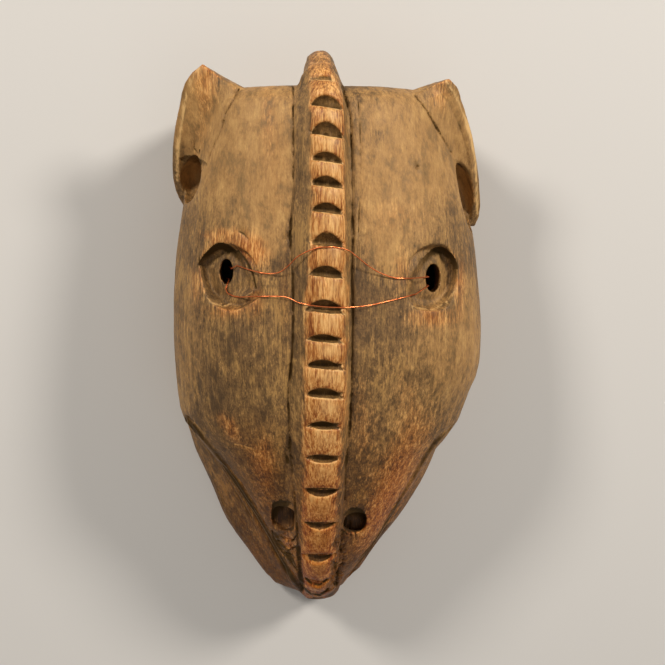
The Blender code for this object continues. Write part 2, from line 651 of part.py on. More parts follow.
def hole_passage(eye, hole, along, side):
    """The way up an eye hole, along its inner edge, from inside the mask to the socket's floor."""
    gap = WIRE_CLEARANCE + WIRE_DIAMETER / 2 + HOLE_FACET_ALLOWANCE
    reach = hole[0] / 2 * math.sqrt(1 - (2 * (along - eye[1]) / hole[1]) ** 2) - gap
    edge = eye[0] + side * reach
    height = face_height(*eye)
    return [Vector((edge, along, height - drop)) for drop in WIRE_HOLE_RANGE]


def inside_way(places):
    """Points of the wire's way inside the mask, between the two eye holes."""
    level = face_height(*LEFT_EYE) - WIRE_INSIDE_DROP
    return [Vector((LEFT_EYE[0] + (RIGHT_EYE[0] - LEFT_EYE[0]) * share, LEFT_EYE[1] + offset, level - drop))
            for share, offset, drop in places]


def wire_route():
    """Two turns round the bridge between the eyes, with the ends side by side inside."""
    left_high, left_low = (hole_passage(LEFT_EYE, LEFT_EYE_HOLE, LEFT_EYE[1] + shift, 1)
                           for shift in LEFT_PASSES)
    right_high, right_low = (hole_passage(RIGHT_EYE, RIGHT_EYE_HOLE, RIGHT_EYE[1] + shift, -1)
                             for shift in RIGHT_PASSES)
    route = inside_way(FIRST_END) + left_high + laid_strand(UPPER_STRAND) + right_high[::-1]
    route += inside_way(INSIDE_STRAND) + left_low + laid_strand(LOWER_STRAND) + right_low[::-1]
    return route + inside_way(LAST_END)


def hanging_wire():
    """The copper wire as a round tube."""
    data = bpy.data.curves.new("hanging_wire", "CURVE")
    data.dimensions = "3D"
    data.bevel_depth = WIRE_DIAMETER / 2
    data.bevel_resolution = 2
    data.use_fill_caps = True
    points = thin_out(wire_route(), WIRE_SLACK)
    spline = data.splines.new("POLY")
    spline.points.add(len(points) - 1)
    for spot, point in zip(spline.points, points):
        spot.co = (*point, 1.0)
    wire = bpy.data.objects.new("hanging_wire", data)
    wire.location = part_place()
    bpy.context.collection.objects.link(wire)
    return wire


def finish(thing, name, colour, roughness, metallic):
    """Give a piece its own plain material."""
    material = bpy.data.materials.new(name)
    material.use_nodes = True
    shader = material.node_tree.nodes["Principled BSDF"]
    shader.inputs["Base Color"].default_value = (*colour, 1.0)
    shader.inputs["Roughness"].default_value = roughness
    shader.inputs["Metallic"].default_value = metallic
    thing.data.materials.append(material)


def main():
    """Build the mask and its wire."""
    clear_scene()
    finish(carve_mask(), "carved_wood", (0.30, 0.19, 0.09), 0.75, 0.0)
    finish(hanging_wire(), "copper_wire", (0.72, 0.33, 0.15), 0.35, 1.0)


main()
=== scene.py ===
"""The finish of a carved wooden armadillo mask and its copper hanging wire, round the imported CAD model.

The mask is a fine mesh grown from its CAD solid and carved by moves of its points: barrel-shaped
crest segments, cut lines, splits, the broken snout, gouge marks behind. Its wood is procedural.
"""

import logging
import math
from dataclasses import dataclass, field
from enum import Enum
from itertools import product

import bmesh
import bpy
import numpy as np
from mathutils import Matrix, Vector
from mathutils.bvhtree import BVHTree


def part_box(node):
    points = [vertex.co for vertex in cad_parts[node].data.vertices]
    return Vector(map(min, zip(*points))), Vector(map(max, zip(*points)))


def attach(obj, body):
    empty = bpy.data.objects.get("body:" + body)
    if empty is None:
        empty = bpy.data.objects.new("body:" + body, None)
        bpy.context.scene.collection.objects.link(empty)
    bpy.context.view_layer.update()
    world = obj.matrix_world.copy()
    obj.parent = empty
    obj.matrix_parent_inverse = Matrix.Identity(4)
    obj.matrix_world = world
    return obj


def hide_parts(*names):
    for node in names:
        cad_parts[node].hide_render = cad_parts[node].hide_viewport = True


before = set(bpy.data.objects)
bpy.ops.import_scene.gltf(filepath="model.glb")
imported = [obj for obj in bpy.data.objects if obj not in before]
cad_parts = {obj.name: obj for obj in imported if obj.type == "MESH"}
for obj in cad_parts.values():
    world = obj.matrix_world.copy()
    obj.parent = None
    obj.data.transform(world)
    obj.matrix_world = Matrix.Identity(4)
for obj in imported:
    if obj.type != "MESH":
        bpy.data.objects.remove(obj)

LOG = logging.getLogger("armadillo_mask")
MM = 0.001

Pixel = tuple[float, float]
Spot = tuple[float, float]
Triple = tuple[float, float, float]
Colour = tuple[float, float, float]
Stops = tuple[tuple[float, Colour], ...]


def soft(values: np.ndarray, low: float, high: float) -> np.ndarray:
    """Rise smoothly from 0 to 1.

    Args:
        values: The numbers to grade.
        low: The number that gives 0.
        high: The number that gives 1, which may be the smaller one.

    Returns:
        The graded numbers.
    """
    share = np.clip((values - low) / (high - low), 0.0, 1.0)
    return share * share * (3.0 - 2.0 * share)


def paint(red: int, green: int, blue: int) -> Colour:
    """Turn a colour as the eye reads it, 0 to 255, into the linear one that a shader takes.

    Args:
        red: The red share.
        green: The green share.
        blue: The blue share.

    Returns:
        The linear colour.
    """
    def linear(value: int) -> float:
        """Undo the display curve of one channel."""
        share = value / 255.0
        return share / 12.92 if share <= 0.04045 else ((share + 0.055) / 1.055) ** 2.4
    return linear(red), linear(green), linear(blue)


def smooth_course(knots: list[Vector], spacing: float) -> list[Vector]:
    """Run a smooth curve through knots.

    Args:
        knots: The points to pass.
        spacing: Length of its steps, in the knots' own unit.

    Returns:
        The points of the curve.
    """
    ends = [knots[0] * 2 - knots[1], *knots, knots[-1] * 2 - knots[-2]]
    course = []
    for a, b, c, d in zip(ends, ends[1:], ends[2:], ends[3:]):
        steps = max(2, int((c - b).length / spacing))
        for step in range(steps):
            t = step / steps
            course.append(0.5 * (2 * b + (c - a) * t + (2 * a - 5 * b + 4 * c - d) * t**2
                                 + (3 * b - a - 3 * c + d) * t**3))
    course.append(knots[-1])
    return course


class Draw(Enum):
    """The seed of each noise that shapes or marks the wood."""

    FACETS = 1
    RIDGES = 2
    DENTS = 3
    GOUGE_ROWS = 4
    GOUGE_BITES = 5
    BROKEN_LAYERS = 7
    WANDER = 40
    SWING = 41
    FRAY = 42


class Grain:
    """Seeded smooth noise over places in space, the same on every run."""

    seed_factor = 3266489917
    axis_factors = (np.uint32(374761393), np.uint32(668265263), np.uint32(2246822519))
    mixing_factor = np.uint32(1274126177)
    middle_of_range = 2147483647.5

    def __init__(self, draw: Draw) -> None:
        """Keep the seed."""
        self.shift = np.uint32(draw.value * self.seed_factor % 2**32)

    def _corner(self, x: np.ndarray, y: np.ndarray, z: np.ndarray) -> np.ndarray:
        """Give each lattice corner its own number from -1 to 1.

        Args:
            x: Whole steps along the first axis.
            y: Whole steps along the second axis.
            z: Whole steps along the third axis.

        Returns:
            One number for each corner.
        """
        by_x, by_y, by_z = self.axis_factors
        mixed = (x.astype(np.uint32) * by_x + y.astype(np.uint32) * by_y + z.astype(np.uint32) * by_z
                 + self.shift)
        mixed = (mixed ^ (mixed >> np.uint32(13))) * self.mixing_factor
        mixed = mixed ^ (mixed >> np.uint32(16))
        return mixed.astype(np.float64) / self.middle_of_range - 1.0

    def at(self, places: np.ndarray, waves: Triple, octaves: int = 1) -> np.ndarray:
        """Read the noise at places.

        Args:
            places: Points in metres, one in each row.
            waves: Length of one wave along x, y and z, in metres.
            octaves: How many times finer waves at half the height are added.

        Returns:
            One number from about -1 to 1 for each place.
        """
        total = np.zeros(len(places))
        height = 1.0
        reach = 0.0
        scaled = places / np.array(waves)
        for octave in range(octaves):
            shifted = scaled * 2.0**octave + 17.3 * octave
            whole = np.floor(shifted).astype(np.int64)
            part = shifted - whole
            part = part * part * (3.0 - 2.0 * part)
            value = np.zeros(len(places))
            for corner in product((0, 1), repeat=3):
                by_x, by_y, by_z = np.where(corner, part, 1 - part).T
                value += by_x * by_y * by_z * self._corner(*(whole + corner).T)
            total += value * height
            reach += height
            height *= 0.5
        return total / reach


@dataclass(frozen=True)
class PhotoCamera:
    """The photograph's viewpoint: above the lying mask, a little to its left and towards its crown."""

    place: Triple = (-0.04126, 0.06931, 0.67010)
    target: Triple = (0.00175, 0.00450, 0.05500)
    focal_pixels: float = 1200.0
    frame_pixels: float = 665.0
    sensor_mm: float = 36.0

    def axes(self) -> tuple[Vector, Vector, Vector]:
        """Work out the camera's directions.

        Returns:
            Right, up and back.
        """
        back = (Vector(self.place) - Vector(self.target)).normalized()
        right = Vector((0.0, 1.0, 0.0)).cross(back).normalized()
        return right, back.cross(right), back

    def pixels(self, points: np.ndarray) -> np.ndarray:
        """Project points into the photograph's frame.

        Args:
            points: Points in metres, one in each row.

        Returns:
            Pixels right and down, one pair in each row.
        """
        right, up, back = (np.array(axis) for axis in self.axes())
        away = points - np.array(self.place)
        depth = -(away @ back)
        middle = self.frame_pixels / 2
        return np.stack((middle + self.focal_pixels * (away @ right) / depth,
                         middle - self.focal_pixels * (away @ up) / depth), axis=1)

    def onto(self, tree: BVHTree, pixel: Pixel) -> tuple[Vector, Vector]:
        """Find what a pixel of the photograph shows.

        Args:
            tree: The surface to look at.
            pixel: The pixel, right and down.

        Returns:
            The point on the surface, and the direction from it to the camera.
        """
        right, up, back = self.axes()
        middle = self.frame_pixels / 2
        ray = right * (pixel[0] - middle) + up * (middle - pixel[1]) - back * self.focal_pixels
        ray.normalize()
        hit = tree.ray_cast(Vector(self.place), ray)[0]
        return hit, -ray

    def make(self) -> bpy.types.Object:
        """Put the camera in the scene.

        Returns:
            The camera's object.
        """
        data = bpy.data.cameras.new("photo_camera")
        data.sensor_width = self.sensor_mm
        data.lens = self.focal_pixels * self.sensor_mm / self.frame_pixels
        data.clip_start = 0.01
        camera = bpy.data.objects.new("photo_camera", data)
        right, up, back = self.axes()
        turned = Matrix((right, up, back)).transposed().to_4x4()
        turned.translation = Vector(self.place)
        camera.matrix_world = turned
        bpy.context.scene.collection.objects.link(camera)
        bpy.context.scene.camera = camera
        return camera


class Mark(Enum):
    """What each of the mask's own attributes says of its wood."""

    WEAR = "wear"
    # Darkness that is partly dirt in the cuts and partly painted shade in the notches, hollows, pits,
    # segment ends and the pinhole.
    SOOT_AND_SHADE = "soot_and_shade"
    OCHRE = "ochre"
    # Paleness that is partly rubbed wear and partly painted highlight on the notch lips, segment middles
    # and lit rims.
    PALE = "pale"
    DUSK = "dusk"
    INSIDE = "inside"


class Tree:
    """A material's nodes, with a short call for each kind that the finishes use."""

    def __init__(self, name: str) -> None:
        """Start a material with its shader alone.

        Args:
            name: The material's name.
        """
        self.material = bpy.data.materials.new(name)
        self.material.use_nodes = True
        self.nodes = self.material.node_tree.nodes
        self.shader = self.nodes["Principled BSDF"]
        self.place = self.node("ShaderNodeTexCoord").outputs["Object"]

    def node(self, kind: str, **settings: object) -> bpy.types.Node:
        """Add a node and set its options.

        Args:
            kind: The node's own type name.
            settings: Its options by name.

        Returns:
            The node.
        """
        made = self.nodes.new(kind)
        for name, value in settings.items():
            setattr(made, name, value)
        return made

    def feed(self, socket: bpy.types.NodeSocket, value: object) -> None:
        """Link a socket to another, or set its own value.

        Args:
            socket: The input to fill.
            value: An output socket, a number or a colour.
        """
        if isinstance(value, bpy.types.NodeSocket):
            self.material.node_tree.links.new(value, socket)
        elif isinstance(value, tuple) and socket.type == "RGBA":
            socket.default_value = (*value, 1.0)
        else:
            socket.default_value = value

    def noise(self, per_metre: Triple, detail: float = 3.0, rough: float = 0.55,
              twist: float = 0.0) -> bpy.types.NodeSocket:
        """Add noise that may be stretched along the grain.

        Args:
            per_metre: How many waves there are in a metre along x, y and z.
            detail: How many finer waves are added.
            rough: How strong the finer waves are.
            twist: How much the waves wander.

        Returns:
            The noise, from about 0.3 to 0.7.
        """
        mapping = self.node("ShaderNodeMapping")
        self.feed(mapping.inputs["Vector"], self.place)
        mapping.inputs["Scale"].default_value = per_metre
        texture = self.node("ShaderNodeTexNoise")
        self.feed(texture.inputs["Vector"], mapping.outputs["Vector"])
        texture.inputs["Scale"].default_value = 1.0
        texture.inputs["Detail"].default_value = detail
        texture.inputs["Roughness"].default_value = rough
        texture.inputs["Distortion"].default_value = twist
        return texture.outputs["Fac"]

    def mark(self, mark: Mark) -> bpy.types.NodeSocket:
        """Read one of the piece's own attributes."""
        return self.node("ShaderNodeAttribute", attribute_name=mark.value).outputs["Fac"]

    def maths(self, operation: str, first: object, second: object = 0.0) -> bpy.types.NodeSocket:
        """Add a sum of one kind.

        Args:
            operation: The node's own word for it.
            first: A socket or a number.
            second: A socket or a number.

        Returns:
            The result.
        """
        made = self.node("ShaderNodeMath", operation=operation)
        self.feed(made.inputs[0], first)
        self.feed(made.inputs[1], second)
        return made.outputs[0]

    def total(self, base: object, *terms: tuple[bpy.types.NodeSocket, float]) -> bpy.types.NodeSocket:
        """Add noises to a base, each centred on its middle.

        Args:
            base: The socket or number to start from.
            terms: Pairs of a noise and how much of it is added.

        Returns:
            The sum.
        """
        for noise, weight in terms:
            centred = self.maths("MULTIPLY", self.maths("SUBTRACT", noise, 0.5), weight)
            base = self.maths("ADD", base, centred)
        return base

    def grade(self, value: bpy.types.NodeSocket, low: float, high: float,
              start: float = 0.0, end: float = 1.0) -> bpy.types.NodeSocket:
        """Rise smoothly from one value to another.

        Args:
            value: The socket to grade.
            low: The number that gives the start.
            high: The number that gives the end.
            start: The result at the low number.
            end: The result at the high number.

        Returns:
            The graded value.
        """
        made = self.node("ShaderNodeMapRange", interpolation_type="SMOOTHSTEP")
        for name, given in (("Value", value), ("From Min", low), ("From Max", high), ("To Min", start),
                            ("To Max", end)):
            self.feed(made.inputs[name], given)
        return made.outputs["Result"]

    def ramp(self, value: bpy.types.NodeSocket, stops: Stops) -> bpy.types.NodeSocket:
        """Run a value through a row of colours.

        Args:
            value: The socket to read.
            stops: Pairs of a place from 0 to 1 and a colour.

        Returns:
            The colour.
        """
        made = self.node("ShaderNodeValToRGB")
        row = made.color_ramp.elements
        while len(row) < len(stops):
            row.new(0.5)
        for element, (place, colour) in zip(row, stops):
            element.position = place
            element.color = (*colour, 1.0)
        self.feed(made.inputs["Fac"], value)
        return made.outputs["Color"]

    def blend(self, share: object, first: object, second: object,
              mode: str = "MIX") -> bpy.types.NodeSocket:
        """Mix two colours.

        Args:
            share: How much of the second is laid on.
            first: A colour or a socket.
            second: A colour or a socket.
            mode: The node's own word for the kind of mix.

        Returns:
            The mixed colour.
        """
        made = self.node("ShaderNodeMix", data_type="RGBA", blend_type=mode)
        colours = [socket for socket in made.inputs if socket.type == "RGBA"]
        self.feed(made.inputs["Factor"], share)
        self.feed(colours[0], first)
        self.feed(colours[1], second)
        return next(socket for socket in made.outputs if socket.type == "RGBA")

    def bump(self, height: bpy.types.NodeSocket, distance: float, strength: float) -> None:
        """Raise the surface's fine relief.

        Args:
            height: The relief.
            distance: Its height in metres.
            strength: How much of it shows.
        """
        made = self.node("ShaderNodeBump")
        made.inputs["Distance"].default_value = distance
        made.inputs["Strength"].default_value = strength
        self.feed(made.inputs["Height"], height)
        self.feed(self.shader.inputs["Normal"], made.outputs["Normal"])


@dataclass(frozen=True)
class WoodFinish:
    """Old carved wood: a dark patina worn through to orange wood along the grain."""

    patina: Stops = ((0.20, paint(66, 49, 29)), (0.50, paint(117, 88, 53)), (0.80, paint(163, 126, 74)))
    ochre: Stops = ((0.20, paint(128, 95, 52)), (0.50, paint(169, 128, 76)), (0.80, paint(198, 158, 98)))
    bare: Stops = ((0.20, paint(126, 64, 22)), (0.50, paint(190, 126, 62)), (0.80, paint(236, 182, 112)))
    # The dark colour laid for pores, dirt and painted shade.
    soot_and_shade: Colour = paint(72, 53, 28)
    # The pale colour laid for rubbed wear and painted highlight.
    pale: Colour = paint(224, 182, 120)
    fleck: Colour = paint(184, 143, 82)
    olive: Colour = paint(123, 101, 64)
    # Multiplied in to darken towards the snout: the wood's own tone and painted shade.
    dusk: Colour = (0.72, 0.40, 0.06)
    behind: Stops = ((0.25, paint(52, 36, 22)), (0.50, paint(92, 66, 40)), (0.78, paint(128, 96, 60)))
    relief: float = 0.00028

    def material(self) -> bpy.types.Material:
        """Build the material.

        Returns:
            The finished material.
        """
        tree = Tree("old_carved_wood")
        cloud = tree.noise((60.0, 40.0, 60.0), 4.0, 0.6)
        drift = tree.noise((130.0, 75.0, 130.0), 4.0, 0.6, 0.4)
        streak = tree.noise((420.0, 45.0, 420.0), 4.0, 0.6, 0.3)
        line = tree.noise((1250.0, 110.0, 1250.0), 3.0, 0.6, 0.2)
        hair = tree.noise((3600.0, 330.0, 3600.0), 2.0, 0.6)
        grain = tree.noise((1500.0, 430.0, 1500.0), 3.0, 0.65, 0.2)
        mottle = tree.noise((480.0, 290.0, 480.0), 5.0, 0.7)
        speck = tree.noise((1700.0, 1100.0, 1700.0), 2.0, 0.5)

        shade = tree.total(0.5, (line, 0.45), (hair, 0.40), (grain, 0.40))
        patina = tree.ramp(tree.total(shade, (mottle, 0.75), (cloud, 0.5), (speck, 0.35)), self.patina)
        flecked = tree.grade(tree.total(grain, (cloud, 0.5), (streak, 0.4)), 0.54, 0.74, 0.0, 0.75)
        patina = tree.blend(flecked, patina, self.fleck)
        long_streak = tree.noise((620.0, 30.0, 620.0), 4.0, 0.65, 0.2)
        streaked = tree.grade(tree.total(long_streak, (cloud, 0.5)), 0.52, 0.66, 0.0, 0.50)
        patina = tree.blend(streaked, patina, self.fleck)
        drifted = tree.grade(tree.total(drift, (streak, 0.5)), 0.48, 0.36, 0.0, 0.55)
        patina = tree.blend(drifted, patina, self.patina[0][1])
        soft_shade = tree.total(0.5, (line, 0.30), (hair, 0.25), (grain, 0.25), (mottle, 0.55))
        ochre = tree.ramp(tree.total(soft_shade, (drift, 0.9)), self.ochre)
        mossy = tree.grade(tree.total(drift, (mottle, 0.5)), 0.50, 0.34, 0.0, 0.35)
        ochre = tree.blend(mossy, ochre, self.olive)
        streaky = tree.total(shade, (streak, 1.1), (line, 0.8), (hair, 0.7), (drift, 0.5))
        bare = tree.ramp(streaky, self.bare)
        behind = tree.ramp(tree.total(shade, (cloud, 0.8)), self.behind)

        tan = tree.grade(tree.total(tree.mark(Mark.OCHRE), (streak, 0.75), (mottle, 0.65), (grain, 0.5)),
                         0.15, 0.85)
        colour = tree.blend(tan, patina, ochre)
        worn = tree.grade(tree.total(tree.mark(Mark.WEAR), (streak, 0.7), (line, 0.55), (grain, 0.5),
                                     (mottle, 0.5)), 0.15, 0.85)
        colour = tree.blend(worn, colour, bare)
        # Lays on rubbed wear and painted highlight.
        lit = tree.grade(tree.total(tree.mark(Mark.PALE), (line, 0.7), (mottle, 0.5)), 0.15, 0.95)
        colour = tree.blend(lit, colour, self.pale)
        spared = tree.total(1.0, (streak, -1.5), (line, -1.3), (hair, -0.8))
        dusky = tree.maths("MULTIPLY", tree.mark(Mark.DUSK), spared)
        colour = tree.blend(dusky, colour, self.dusk, "MULTIPLY")
        colour = tree.blend(tree.mark(Mark.INSIDE), colour, behind)
        pore = tree.grade(hair, 0.58, 0.70, 0.0, 0.30)
        colour = tree.blend(pore, colour, self.soot_and_shade)
        # Darkens by the dirt and painted shade that the mask's points carry.
        grime_and_shade = tree.grade(tree.total(tree.mark(Mark.SOOT_AND_SHADE), (mottle, 0.6), (line, 0.4), (speck, 0.3)),
                           0.18, 0.90)
        colour = tree.blend(grime_and_shade, colour, self.soot_and_shade)

        tree.feed(tree.shader.inputs["Base Color"], colour)
        gloss = tree.total(0.58, (mottle, 0.35), (line, 0.25))
        gloss = tree.maths("SUBTRACT", gloss, tree.maths("MULTIPLY", worn, 0.14))
        tree.feed(tree.shader.inputs["Roughness"], gloss)
        tree.feed(tree.shader.inputs["Specular IOR Level"], tree.grade(grime_and_shade, 0.0, 0.9, 0.34, 0.05))
        tree.bump(tree.total(0.5, (line, 0.8), (hair, 0.5), (grain, 0.6), (mottle, 0.6), (streak, 0.6)),
                  self.relief, 0.6)
        return tree.material


@dataclass(frozen=True)
class CopperFinish:
    """Thin bright copper wire, dulled in patches."""

    bright: Colour = paint(250, 144, 88)
    dull: Colour = paint(206, 108, 62)

    def material(self) -> bpy.types.Material:
        """Build the material.

        Returns:
            The finished material.
        """
        tree = Tree("drawn_copper")
        patch = tree.noise((400.0, 400.0, 400.0), 3.0)
        colour = tree.blend(tree.grade(patch, 0.42, 0.66), self.bright, self.dull)
        tree.feed(tree.shader.inputs["Base Color"], colour)
        tree.feed(tree.shader.inputs["Roughness"], tree.grade(patch, 0.35, 0.70, 0.28, 0.50))
        tree.shader.inputs["Metallic"].default_value = 1.0
        return tree.material


@dataclass(frozen=True)
class CutLine:
    """A cut, split or scratch that runs through pixels of the photograph.

    Its width is in pixels, its depth in metres, and the other shares go from 0 to about 1. Its darkness
    is dirt with painted shade, and its paleness is wear with painted highlight.
    """

    course: tuple[Pixel, ...]
    width: float
    depth: float
    ragged: float = 0.5
    soot_and_shade: float = 0.8
    pale: float = 0.0


@dataclass(frozen=True)
class Hollow:
    """A crisp hollow whose closed outline runs through pixels of the photograph.

    Its steep wall lies towards lean and its gentle one opposite; both widths are in pixels. Where a hole
    runs through its floor, the hole's walls move with it above the height keep_below. Painted shadow
    darkens the steep wall and painted shade the floor.
    """

    outline: tuple[Pixel, ...]
    depth: float
    steep: float
    gentle: float
    lean: Pixel
    keep_below: float = 0.0
    soot_and_shade: float = 0.5
    floor_shade: float = 0.0


@dataclass(frozen=True)
class Patch:
    """A soft oval zone of the photograph, in pixels and turned by degrees, where the wood differs."""

    middle: Pixel
    reach: Pixel
    strength: float
    turn: float = 0.0


@dataclass(frozen=True)
class Nudge:
    """A soft oval zone of the photograph whose wood is shifted, by pixels right and down."""

    middle: Pixel
    reach: Pixel
    shift: Pixel


@dataclass(frozen=True)
class WearRecipe:
    """How worn, how dark with dirt and painted shade, how tan, how pale with wear and painted highlight,
    and how dusky each kind of place is.

    Where a share changes down the mask, it goes with rows of the photograph's pixels.
    """

    worn_everywhere: float = 0.08
    worn_rows: Triple = (50, 90, 250)
    worn_tops: Triple = (0.35, 0.66, 0.85)
    worn_edges: float = 0.5
    unworn_cuts: float = 0.5
    tan_everywhere: float = 0.10
    tan_sides: float = 0.30
    # Notches, segment ends, pits and hollows get painted shade; notch lips and segment middles get painted
    # highlight.
    shade_notches: float = 0.48
    dark_zone_patina_and_shade: float = 0.6
    shade_segment_ends: float = 0.20
    chip_darkness: float = 0.8
    grime_and_shade_pits: float = 0.6
    highlight_lips: float = 0.7
    highlight_middles: float = 0.56
    highlight_rows: Spot = (60, 110)
    highlight_crown: Spot = (0.3, 1.0)
    # Darker and redder towards the snout: the wood's own tone and painted shade where the snout turns from
    # the light.
    crest_rows: tuple[float, ...] = (320, 420, 480, 545, 600)
    crest_dusk: tuple[float, ...] = (0.06, 0.12, 0.44, 0.74, 0.92)
    side_rows: tuple[float, ...] = (400, 500, 560, 600)
    side_dusk: tuple[float, ...] = (0.05, 0.55, 0.85, 1.00)
    undusky_break: float = 0.6


